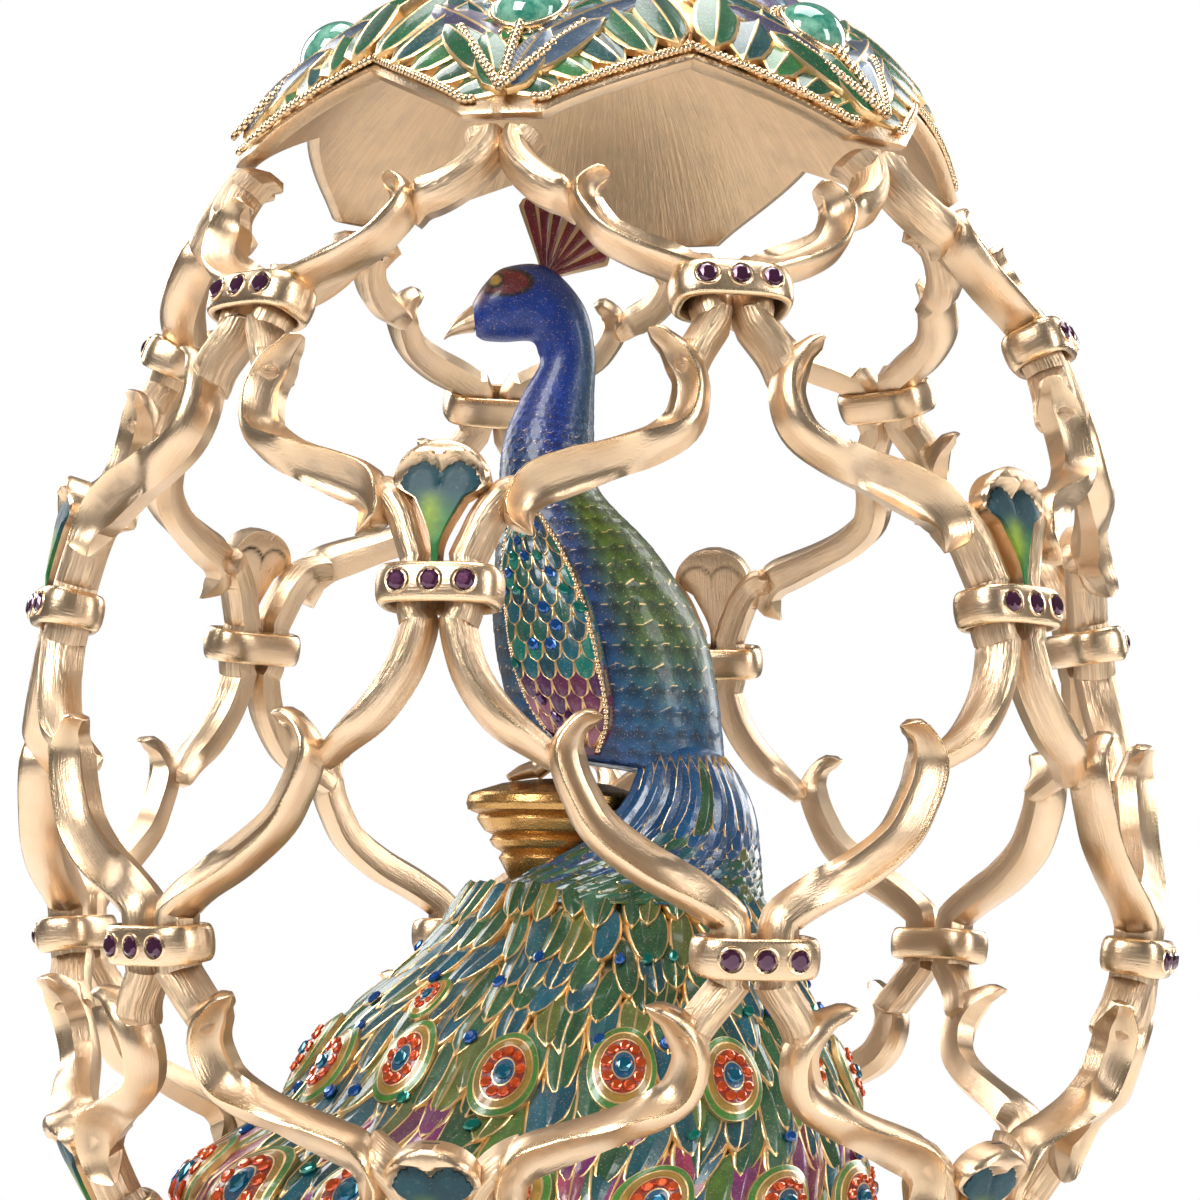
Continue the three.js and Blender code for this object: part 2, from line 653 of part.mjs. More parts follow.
for (let pair = 0; pair < PAIRS; pair++) {
  const number = pair + 1;
  const plain = new THREE.Group();
  plain.rotation.z = radians(FIRST_AZIMUTH + 2 * HALF_STEP * pair);
  egg.add(plain);
  named(`trellis_rod_right_${number}`, rightRod, gilt, plain);
  named(`trellis_rod_left_${number}`, leftRod, gilt, plain);
  named(`upper_band_${number}`, upperBand, gilt, plain);
  named(`middle_band_${number}`, middleBand, gilt, plain);
  const beside = new THREE.Group();
  beside.rotation.z = radians(FIRST_AZIMUTH + HALF_STEP * (2 * pair - 1));
  egg.add(beside);
  named(`palmette_band_${number}`, upperPalmette, gilt, beside);
  named(`lower_palmette_band_${number}`, lowerPalmette, gilt, beside);
  const stone = named(`cabochon_${number}`, cabochon, jade, beside);
  stone.position.copy(cabochonSeat);
  stone.rotation.x = Math.atan2(seatNormal.x, seatNormal.y);
}

const cap = named('cap', capGeometry(), feathers);
cap.rotation.z = radians(FIRST_AZIMUTH - HALF_STEP);
const finial = named('finial', finialGeometry(), gilt);
finial.position.z = WIDEST_LEVEL + UPPER_REACH + CAP_PROUD + GAP;
const finialStone = named('finial_stone', stoneGeometry(FINIAL_STONE_RADIUS, FINIAL_STONE_HEIGHT, 10), jade);
finialStone.position.z = finial.position.z + FINIAL_HEIGHT + GAP;

named('peacock', peacockGeometry(), plumage);
const pedestal = named('pedestal', turned(pedestalProfile(), 10), amber);
pedestal.position.x = PEDESTAL_X;
named('cage_floor', turned(floorProfile(), ROUND_SIDES), ground);
named('collar', turned(collarProfile(), ROUND_SIDES), gilt);
named('base', turned(baseProfile(), ROUND_SIDES), gilt);

export default egg;
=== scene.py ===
"""Looks of a jewelled openwork egg with an enamelled peacock inside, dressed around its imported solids.

Lengths are metres, +Z is up and the front faces -Y. Azimuth is in degrees from the front, growing towards +X.
A level is a height above the egg's widest girth.
"""

import logging
import math
from dataclasses import dataclass, field
from typing import Callable, Iterable, Optional, Sequence, Union

import bmesh
import bpy
import numpy as np
from bpy.types import Material, Mesh
from bpy.types import NodeSocket as Socket
from mathutils import Matrix, Vector


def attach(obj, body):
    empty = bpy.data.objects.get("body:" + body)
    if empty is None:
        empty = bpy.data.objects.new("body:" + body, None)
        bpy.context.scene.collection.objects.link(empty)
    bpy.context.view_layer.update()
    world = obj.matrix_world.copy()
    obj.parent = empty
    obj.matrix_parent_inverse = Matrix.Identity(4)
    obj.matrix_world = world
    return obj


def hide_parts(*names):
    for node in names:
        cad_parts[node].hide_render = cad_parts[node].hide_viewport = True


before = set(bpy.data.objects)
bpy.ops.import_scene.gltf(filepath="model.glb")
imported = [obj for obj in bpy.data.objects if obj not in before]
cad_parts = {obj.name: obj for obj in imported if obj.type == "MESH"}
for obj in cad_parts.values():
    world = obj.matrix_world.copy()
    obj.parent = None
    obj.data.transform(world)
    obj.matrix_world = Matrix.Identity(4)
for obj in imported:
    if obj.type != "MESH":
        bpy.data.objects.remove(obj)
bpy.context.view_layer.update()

log = logging.getLogger("egg")
Array = np.ndarray
Colour = tuple[float, float, float]
MM = 0.001


# Numbers and curves

def circle(count: int) -> Array:
    """Angles evenly round a full turn, in radians."""
    return np.linspace(0, 2 * math.pi, count, endpoint=False)


def triple(first: Array, second: Array, third: Array) -> Array:
    """Three arrays or numbers side by side along a new last axis."""
    return np.stack(np.broadcast_arrays(first, second, third), axis=-1)


def even(values: Sequence[float], like: Array) -> Array:
    """The same three numbers at every place of an array."""
    return np.broadcast_to(np.array(values), like.shape).copy()


def smooth(value: Array, low: float, high: float) -> Array:
    """Rises from 0 at low to 1 at high along a cubic with level ends."""
    share = np.clip((value - low) / (high - low), 0.0, 1.0)
    return share * share * (3 - 2 * share)


def bump(value: Array, centre: float, reach: float) -> Array:
    """A bell that is 1 at its centre and falls as e to the minus square of the distance over its reach."""
    return np.exp(-(((value - centre) / reach) ** 2))


def unit(vectors: Array) -> Array:
    """Vectors divided by their lengths, along the last axis."""
    return vectors / np.maximum(np.linalg.norm(vectors, axis=-1, keepdims=True), 1e-12)


def spline(points: Sequence[Sequence[float]], count: int) -> Array:
    """A smooth curve through points, evenly spaced along its length.

    Each stretch is a Catmull-Rom cubic, whose slope at a point is half the step between its neighbours.

    Args:
        points: the places it passes, with any number of coordinates.
        count: how many places to return.

    Returns:
        An array of count places.
    """
    knots = np.asarray(points, float)
    padded = np.vstack([2 * knots[0] - knots[1], knots, 2 * knots[-1] - knots[-2]])
    share = np.linspace(0, 1, 24, endpoint=False)[:, None]
    before, start, end, after = (padded[i:len(padded) - 3 + i, None] for i in range(4))
    cubic = 0.5 * (2 * start + (end - before) * share + (2 * before - 5 * start + 4 * end - after) * share ** 2
                   + (3 * start - before - 3 * end + after) * share ** 3)
    fine = np.vstack([cubic.reshape(-1, knots.shape[1]), knots[-1:]])
    length = np.concatenate([[0], np.cumsum(np.linalg.norm(np.diff(fine, axis=0), axis=1))])
    even = np.linspace(0, length[-1], count)
    return np.stack([np.interp(even, length, fine[:, axis]) for axis in range(knots.shape[1])], axis=1)


def keyed(share: Array, keys: Sequence[tuple[float, float]]) -> Array:
    """Values read off a line through (share, value) keys, with the corners eased by a smooth step."""
    places, values = np.array(keys, float).T
    index = np.clip(np.searchsorted(places, share, side="right") - 1, 0, len(places) - 2)
    local = np.clip((share - places[index]) / (places[index + 1] - places[index]), 0, 1)
    eased = local * local * (3 - 2 * local)
    return values[index] + (values[index + 1] - values[index]) * eased


# Meshes

@dataclass
class Draft:
    """Closed surfaces gathered as arrays, to become one mesh.

    Each point may carry a place, three numbers that a finish reads as its pattern's coordinates, and a tint.
    """

    points: list[Array] = field(default_factory=list)
    places: list[Array] = field(default_factory=list)
    tints: list[Array] = field(default_factory=list)
    faces: list[Array] = field(default_factory=list)
    count: int = 0

    def _take(self, points: Array, faces: Iterable[Array], place: Optional[Array],
              tint: Optional[Array]) -> None:
        """Stores one closed surface, turned the right way out if its volume comes out negative."""
        flat = points.reshape(-1, 3)
        kept = [block for block in faces if len(block)]
        volume = 0.0
        for block in kept:
            corner = flat[block[:, 0]]
            for step in range(1, block.shape[1] - 1):
                cross = np.cross(flat[block[:, step]] - corner, flat[block[:, step + 1]] - corner)
                volume += float(np.einsum("ij,ij->", corner - flat[0], cross))
        for block in kept:
            self.faces.append((block[:, ::-1] if volume < 0 else block) + self.count)
        self.points.append(flat)
        self.places.append(np.zeros_like(flat) if place is None else place.reshape(-1, 3))
        self.tints.append(np.ones_like(flat) if tint is None else tint.reshape(-1, 3))
        self.count += len(flat)

    def tube(self, rings: Array, place: Optional[Array] = None, tint: Optional[Array] = None,
             ends: tuple[Optional[Array], Optional[Array]] = (None, None)) -> "Draft":
        """A closed body through rings, each end drawn together to one point.

        Args:
            rings: places by ring and by point of the ring.
            place: pattern coordinates in the same shape.
            tint: colours in the same shape.
            ends: the two end points, or None for the middle of the end ring.

        Returns:
            This draft.
        """
        rows, columns = rings.shape[:2]
        index = np.arange(rows * columns).reshape(rows, columns)
        beside = np.roll(index, -1, axis=1)
        sides = np.stack([index[:-1], beside[:-1], beside[1:], index[1:]], axis=-1).reshape(-1, 4)
        first, last = rows * columns, rows * columns + 1
        fans = np.concatenate([
            np.stack([np.full(columns, first), beside[0], index[0]], axis=1),
            np.stack([np.full(columns, last), index[-1], beside[-1]], axis=1)])

        def with_ends(values: Optional[Array], given: tuple = (None, None)) -> Optional[Array]:
            """The values with one more at each end, given or averaged from the end ring."""
            if values is None:
                return None
            pair = [values[row].mean(axis=0) if own is None else np.asarray(own, float)
                    for row, own in zip((0, -1), given)]
            return np.concatenate([values.reshape(-1, 3), np.stack(pair)])

        self._take(with_ends(rings, ends), [sides, fans], with_ends(place), with_ends(tint))
        return self

    def hoop(self, rings: Array, place: Optional[Array] = None, tint: Optional[Array] = None) -> "Draft":
        """A closed ring-shaped body: the last ring joins the first."""
        rows, columns = rings.shape[:2]
        index = np.arange(rows * columns).reshape(rows, columns)
        beside = np.roll(index, -1, axis=1)
        faces = np.stack([index, beside, np.roll(beside, -1, axis=0), np.roll(index, -1, axis=0)], axis=-1)
        self._take(rings, [faces.reshape(-1, 4)], place, tint)
        return self

    def plate(self, front: Array, back: Array, place: Optional[Array] = None,
              tint: Optional[Array] = None) -> "Draft":
        """A closed body between two grids of the same shape, joined along their four edges."""
        rows, columns = front.shape[:2]
        index = np.arange(rows * columns).reshape(rows, columns)
        face = np.stack([index[:-1, :-1], index[:-1, 1:], index[1:, 1:], index[1:, :-1]], axis=-1)
        face = face.reshape(-1, 4)
        edge = np.concatenate([index[0, :-1], index[:-1, -1], index[-1, :0:-1], index[:0:-1, 0]])
        after = np.roll(edge, -1)
        offset = rows * columns
        rim = np.stack([edge, edge + offset, after + offset, after], axis=1)
        both = [None if values is None else np.concatenate([values.reshape(-1, 3)] * 2)
                for values in (place, tint)]
        self._take(np.concatenate([front.reshape(-1, 3), back.reshape(-1, 3)]),
                   [face, face[:, ::-1] + offset, rim], *both)
        return self

    def mesh(self, name: str, crease: float = 38.0) -> Mesh:
        """The mesh of everything gathered, smooth but for edges that turn by more than a crease in degrees."""
        data = bpy.data.meshes.new(name)
        faces = [face for block in self.faces for face in block.tolist()]
        data.from_pydata(np.concatenate(self.points).tolist(), [], faces)
        for label, values in (("place", self.places), ("tint", self.tints)):
            attribute = data.attributes.new(label, "FLOAT_VECTOR", "POINT")
            attribute.data.foreach_set("vector", np.concatenate(values).astype(np.float32).ravel())
        data.shade_smooth()
        data.set_sharp_from_angle(angle=math.radians(crease))
        data.update()
        return data


def lathe(profile: Sequence[Sequence[float]], segments: int, wave: Optional[Callable] = None) -> Array:
    """Rings turned about +Z from (radius, height) pairs; a wave may add to the radius."""
    outline = np.asarray(profile, float)
    angle = circle(segments)[None, :]
    radius, height = outline[:, :1], outline[:, 1:2]
    grown = radius + (wave(angle, height, radius) if wave else 0.0)
    return triple(grown * np.sin(angle), -grown * np.cos(angle), height)


class Piece:
    """Puts meshes on stage as pieces of the object."""

    @staticmethod
    def show(name: str, mesh: Mesh, finish: Material, slot: str,
             stands_for: Sequence[str] = ()) -> bpy.types.Object:
        """Makes an object at the origin that rides on the part, with its finish, and hides the nodes it
        replaces.
        """
        mesh.materials.clear()
        mesh.materials.append(finish)
        piece = bpy.data.objects.new(name, mesh)
        bpy.context.scene.collection.objects.link(piece)
        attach(piece, "root")
        if stands_for:
            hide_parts(*stands_for)
        log.info("%s: %d faces", name, len(mesh.polygons))
        return piece

    @staticmethod
    def turned(mesh: Mesh, azimuth: float, mirror: bool = False) -> Mesh:
        """A copy of a mesh turned about +Z to an azimuth, mirrored in the plane of its own meridian first."""
        copy = bpy.data.meshes.new(mesh.name)
        work = bmesh.new()
        work.from_mesh(mesh)
        work.to_mesh(copy)
        work.free()
        if mirror:
            copy.transform(Matrix.Scale(-1, 4, (1, 0, 0)))
            copy.flip_normals()
        copy.transform(Matrix.Rotation(math.radians(azimuth), 4, "Z"))
        return copy


# Finishes

class Wire:
    """A number on its way through a material, which Python's sums turn into Math nodes."""

    def __init__(self, bench: "Bench", socket: Socket) -> None:
        """Wraps a socket of a bench."""
        self.bench, self.socket = bench, socket

    def __add__(self, other: "Number") -> "Wire":
        """Sum."""
        return self.bench.sum("ADD", self, other)

    __radd__ = __add__

    def __mul__(self, other: "Number") -> "Wire":
        """Product."""
        return self.bench.sum("MULTIPLY", self, other)

    __rmul__ = __mul__

    def __sub__(self, other: "Number") -> "Wire":
        """Difference."""
        return self.bench.sum("SUBTRACT", self, other)

    def __rsub__(self, other: "Number") -> "Wire":
        """Difference from a number."""
        return self.bench.sum("SUBTRACT", other, self)

    def clipped(self) -> "Wire":
        """Held between 0 and 1."""
        return self.bench.sum("ADD", self, 0.0, use_clamp=True)

    def between(self, low: float, high: float) -> "Wire":
        """Rises smoothly from 0 at low to 1 at high."""
        node = self.bench.node("ShaderNodeMapRange", {"interpolation_type": "SMOOTHSTEP"},
                               {"Value": self, "From Min": low, "From Max": high})
        return Wire(self.bench, node.outputs["Result"])


Number = Union[Wire, float]


class Bench:
    """One material under work: its nodes, and the Principled shader that they feed."""

    def __init__(self, name: str) -> None:
        """Starts a material with one Principled shader."""
        self.material = bpy.data.materials.new(name)
        self.material.use_nodes = True
        self.tree = self.material.node_tree
        self.shader = self.tree.nodes["Principled BSDF"]

    def node(self, kind: str, settings: dict, values: dict) -> bpy.types.Node:
        """Makes a node: first its settings, then the values or links of its sockets."""
        made = self.tree.nodes.new(kind)
        for name, value in settings.items():
            setattr(made, name, value)
        for name, value in values.items():
            self._feed(made.inputs[name], value)
        return made

    def _feed(self, target: Socket, value: object) -> None:
        """Links a wire or socket, or sets a plain value."""
        if isinstance(value, Wire):
            self.tree.links.new(value.socket, target)
        elif isinstance(value, Socket):
            self.tree.links.new(value, target)
        elif isinstance(value, tuple) and len(value) == 3 and target.type == "RGBA":
            target.default_value = (*value, 1.0)
        else:
            target.default_value = value

    def sum(self, operation: str, first: Number, second: Number, use_clamp: bool = False) -> Wire:
        """One Math node."""
        made = self.node("ShaderNodeMath", {"operation": operation, "use_clamp": use_clamp},
                         {0: first, 1: second})
        return Wire(self, made.outputs[0])

    def surface(self, **values: object) -> "Bench":
        """Sets the shader's sockets: Base_Color means Base Color."""
        for name, value in values.items():
            self._feed(self.shader.inputs[name.replace("_", " ")], value)
        return self

    def spot(self) -> Socket:
        """Where a point is, in the object's own coordinates."""
        return self.node("ShaderNodeTexCoord", {}, {}).outputs["Object"]

    def place(self) -> Socket:
        """A point's pattern coordinates."""
        return self.node("ShaderNodeAttribute", {"attribute_name": "place"}, {}).outputs["Vector"]

    def tint(self) -> Socket:
        """A point's own colour."""
        return self.node("ShaderNodeAttribute", {"attribute_name": "tint"}, {}).outputs["Vector"]

    def parts(self, vector: Socket) -> tuple[Wire, Wire, Wire]:
        """The three numbers of a vector."""
        made = self.node("ShaderNodeSeparateXYZ", {}, {"Vector": vector})
        return tuple(Wire(self, output) for output in made.outputs)

    def scaled(self, vector: Socket, scale: Sequence[float]) -> Socket:
        """A vector stretched along each axis."""
        return self.node("ShaderNodeMapping", {}, {"Vector": vector, "Scale": tuple(scale)}).outputs["Vector"]

    def noise(self, vector: Socket, scale: float, detail: float = 3.0,
              roughness: float = 0.55) -> Wire:
        """Cloudy noise from 0 to 1."""
        made = self.node("ShaderNodeTexNoise", {}, {
            "Vector": vector, "Scale": scale, "Detail": detail, "Roughness": roughness})
        return Wire(self, made.outputs[0])

    def blend(self, share: Number, first: object, second: object) -> Socket:
        """A colour between two, by a share."""
        made = self.node("ShaderNodeMix", {"data_type": "RGBA"}, {0: share, 6: first, 7: second})
        return made.outputs[2]

    def times(self, share: Number, first: object, second: object) -> Socket:
        """The first colour multiplied by the second, by a share."""
        made = self.node("ShaderNodeMix", {"data_type": "RGBA", "blend_type": "MULTIPLY"},
                         {0: share, 6: first, 7: second})
        return made.outputs[2]

    def raised(self, height: Wire, distance: float, strength: float = 1.0) -> Socket:
        """Normals over a height that is measured in steps of a distance in metres."""
        made = self.node("ShaderNodeBump", {}, {"Height": height, "Distance": distance, "Strength": strength})
        return made.outputs["Normal"]


@dataclass(frozen=True)
class Gilt:
    """Satin gilt: place holds its streak coordinates; tint holds sheen and wear, painted shade and dirt, and
    bark.

    Attributes:
        colour: clean metal.
        shade_and_dirt: the dark brown of painted shade in hollows, creases and inner faces, and of dirt.
        roughness: of the clean metal.
    """

    name: str
    colour: Colour = (0.80, 0.582, 0.372)
    shade_and_dirt: Colour = (0.07, 0.042, 0.022)
    roughness: float = 0.25

    def material(self) -> Material:
        """Builds the material."""
        bench = Bench(self.name)
        spot, place = bench.spot(), bench.place()
        sheen_and_wear, shade_and_dirt, bark = bench.parts(bench.tint())
        cloud = bench.noise(spot, 260.0, 4.0)
        grain = bench.noise(spot, 5200.0, 2.0)
        streaks = bench.noise(bench.scaled(place, (2300.0, 2300.0, 190.0)), 1.0, 3.0, 0.6)
        brushed = bench.noise(bench.scaled(place, (5200.0, 5200.0, 420.0)), 1.0, 2.0, 0.5)
        spread = cloud.between(0.42, 0.72)
        # Painted shade: the shade channel darkens towards the dark brown, and the bark is darker in its low
        # streaks.
        shade_and_streaks = (shade_and_dirt * (0.6 + 0.8 * spread) + bark * streaks.between(0.58, 0.42) * 0.3).clipped()
        pale = bench.blend(cloud.between(0.3, 0.75), self.colour, tuple(c * k for c, k in zip(
            self.colour, (1.04, 1.07, 1.16))))
        # Painted highlight: the sheen channel blends the gold towards a pale highlight gold, on ridges, edges
        # and trim and lightly over whole pieces.
        bright = bench.blend(sheen_and_wear * 0.6, pale, (0.95, 0.72, 0.44))
        colour = bench.blend(shade_and_streaks, bright, self.shade_and_dirt)
        height = bark * streaks * 0.6 + brushed * 0.08 + grain * 0.05 + cloud * 0.2
        bench.surface(
            Base_Color=colour, Metallic=1.0 - shade_and_streaks * 0.35,
            Roughness=self.roughness + 0.12 * grain + shade_and_streaks * 0.22 + bark * 0.06 - sheen_and_wear * 0.06,
            Normal=bench.raised(height, 0.00042))
        return bench.material


@dataclass(frozen=True)
class Enamel:
    """Translucent enamel over gilt: tint is its colour, and place x the share of bare gilt shown through.

    Attributes:
        flecks: how much gold shows in it as fine specks.
        depth: how uneven its surface is, in metres.
        coat: how strong its clear top layer is.
        roughness: of the enamel under that layer.
    """

    name: str
    flecks: float = 0.4
    depth: float = 0.00012
    coat: float = 0.6
    roughness: float = 0.26
    gilt: Colour = (0.86, 0.60, 0.30)

    def material(self) -> Material:
        """Builds the material."""
        bench = Bench(self.name)
        spot = bench.spot()
        bare, shade, _ = bench.parts(bench.place())
        cloud = bench.noise(spot, 420.0, 4.0, 0.6)
        fine = bench.noise(spot, 1900.0, 3.0, 0.6)
        specks = bench.noise(spot, 5200.0, 1.0).between(0.66, 0.72) * self.flecks
        metal = (bare.between(0.42, 0.58) + specks).clipped()
        pool = bench.times(cloud.between(0.35, 0.62) * 0.55, bench.tint(), (0.35, 0.45, 0.55))
        lit = bench.blend(fine.between(0.55, 0.8) * 0.16, pool, (0.42, 0.55, 0.34))
        deep = bench.times(shade, lit, (0.22, 0.25, 0.3))
        bench.surface(
            Base_Color=bench.blend(metal, deep, self.gilt), Metallic=metal * 0.95,
            Roughness=self.roughness + 0.12 * cloud, Coat_Weight=self.coat - metal * self.coat * 0.8,
            Coat_Roughness=0.08, Normal=bench.raised(cloud * 0.6 + fine * 0.4, self.depth))
        return bench.material


@dataclass(frozen=True)
class Crystal:
    """A small cut crystal, foiled behind, so that it glints: tint is its colour."""

    name: str

    def material(self) -> Material:
        """Builds the material."""
        bench = Bench(self.name)
        bench.surface(Base_Color=bench.tint(), Metallic=0.55, Roughness=0.08, Coat_Weight=1.0,
                      Coat_Roughness=0.02)
        return bench.material


@dataclass(frozen=True)
class Stone:
    """A polished green stone with paler veins."""

    name: str
    colour: Colour = (0.02, 0.22, 0.15)
    vein: Colour = (0.30, 0.62, 0.46)

    def material(self) -> Material:
        """Builds the material."""
        bench = Bench(self.name)
        spot = bench.spot()
        cloud = bench.noise(spot, 330.0, 5.0, 0.65)
        veins = bench.noise(spot, 900.0, 2.0).between(0.45, 0.6)
        colour = bench.blend((cloud.between(0.38, 0.66) * 0.8 + veins * 0.15).clipped(), self.colour, self.vein)
        bench.surface(Base_Color=colour, Roughness=0.05, Coat_Weight=1.0, Coat_Roughness=0.02, IOR=1.54)
        return bench.material


# The egg's skin

@dataclass(frozen=True)
class Skin:
    """The surface that the cage follows: half an ellipse turned about +Z above the widest level, half below."""

    radius: float = 65 * MM
    upper: float = 104 * MM
    lower: float = 69.5 * MM
    widest: float = 90 * MM

    def girth(self, level: Array) -> Array:
        """Radius at a level: the ellipse's half width times the root of one less the level's share squared."""
        reach = np.where(np.asarray(level) > 0, self.upper, self.lower)
        return self.radius * np.sqrt(np.maximum(0.0006, 1 - (level / reach) ** 2))

    def slope(self, level: Array) -> tuple[Array, Array]:
        """Outward and upward shares of the normal: the ellipse's gradient, made one long."""
        reach = np.where(np.asarray(level) > 0, self.upper, self.lower)
        outward, upward = self.girth(level) / self.radius ** 2, level / reach ** 2
        length = np.hypot(outward, upward)
        return outward / length, upward / length

    def after(self, level: Array, up: Array) -> Array:
        """The level reached by going a distance up the meridian, by one midpoint step."""
        half = level + up * self.slope(level)[0] / 2
        return level + up * self.slope(half)[0]

    def point(self, azimuth: Array, level: Array, out: Array = 0.0) -> Array:
        """Places at an azimuth in radians and a level, a distance outside the skin."""
        outward, upward = self.slope(level)
        radius = self.girth(level) + out * outward
        height = self.widest + level + out * upward
        return triple(radius * np.sin(azimuth), -radius * np.cos(azimuth), height)

    def normal(self, azimuth: Array, level: Array) -> Array:
        """Outward normals."""
        outward, upward = self.slope(level)
        return triple(outward * np.sin(azimuth), -outward * np.cos(azimuth), upward)

    def flat(self, level: float, across: Array, up: Array, out: Array) -> Array:
        """Places on the meridian at azimuth 0, reached from a level by going across, up and outward."""
        reached = self.after(level, up)
        outward, upward = self.slope(reached)
        return triple(across, -self.girth(reached) - out * outward, self.widest + reached + out * upward)


SKIN = Skin()
PAIRS = 6
FIRST_AZIMUTH = 15.3
HALF_STEP = 180.0 / PAIRS
ROW_LEVELS = tuple(level * MM for level in (79.6, 60.4, 28.3, -8.1, -39.9, -58.5))
PLAIN_ROWS = (1, 3, 5)


# The cage

@dataclass(frozen=True)
class Stroke:
    """One sweep of a rod: where it runs, and how its section changes from start to end.

    Attributes:
        route: (way, drop) places below a row, as shares of the way to the next meridian and row.
        width: (share, factor) keys of the half width.
        ridge: keys of the ridge's place across, from -1 to 1.
        left: keys of how far the side below the ridge is scooped out.
        right: keys of how far the side above the ridge is scooped out.
        bark: keys of how rough the surface is left.
        lift: keys of the height above the rod's own middle, in rod depths.
    """

    route: tuple
    width: tuple
    ridge: tuple = ((0, 0.0), (1, 0.0))
    left: tuple = ((0, 0.0), (1, 0.0))
    right: tuple = ((0, 0.0), (1, 0.0))
    bark: tuple = ((0, 0.0), (1, 0.0))
    lift: tuple = ((0, 0.0), (1, 0.0))


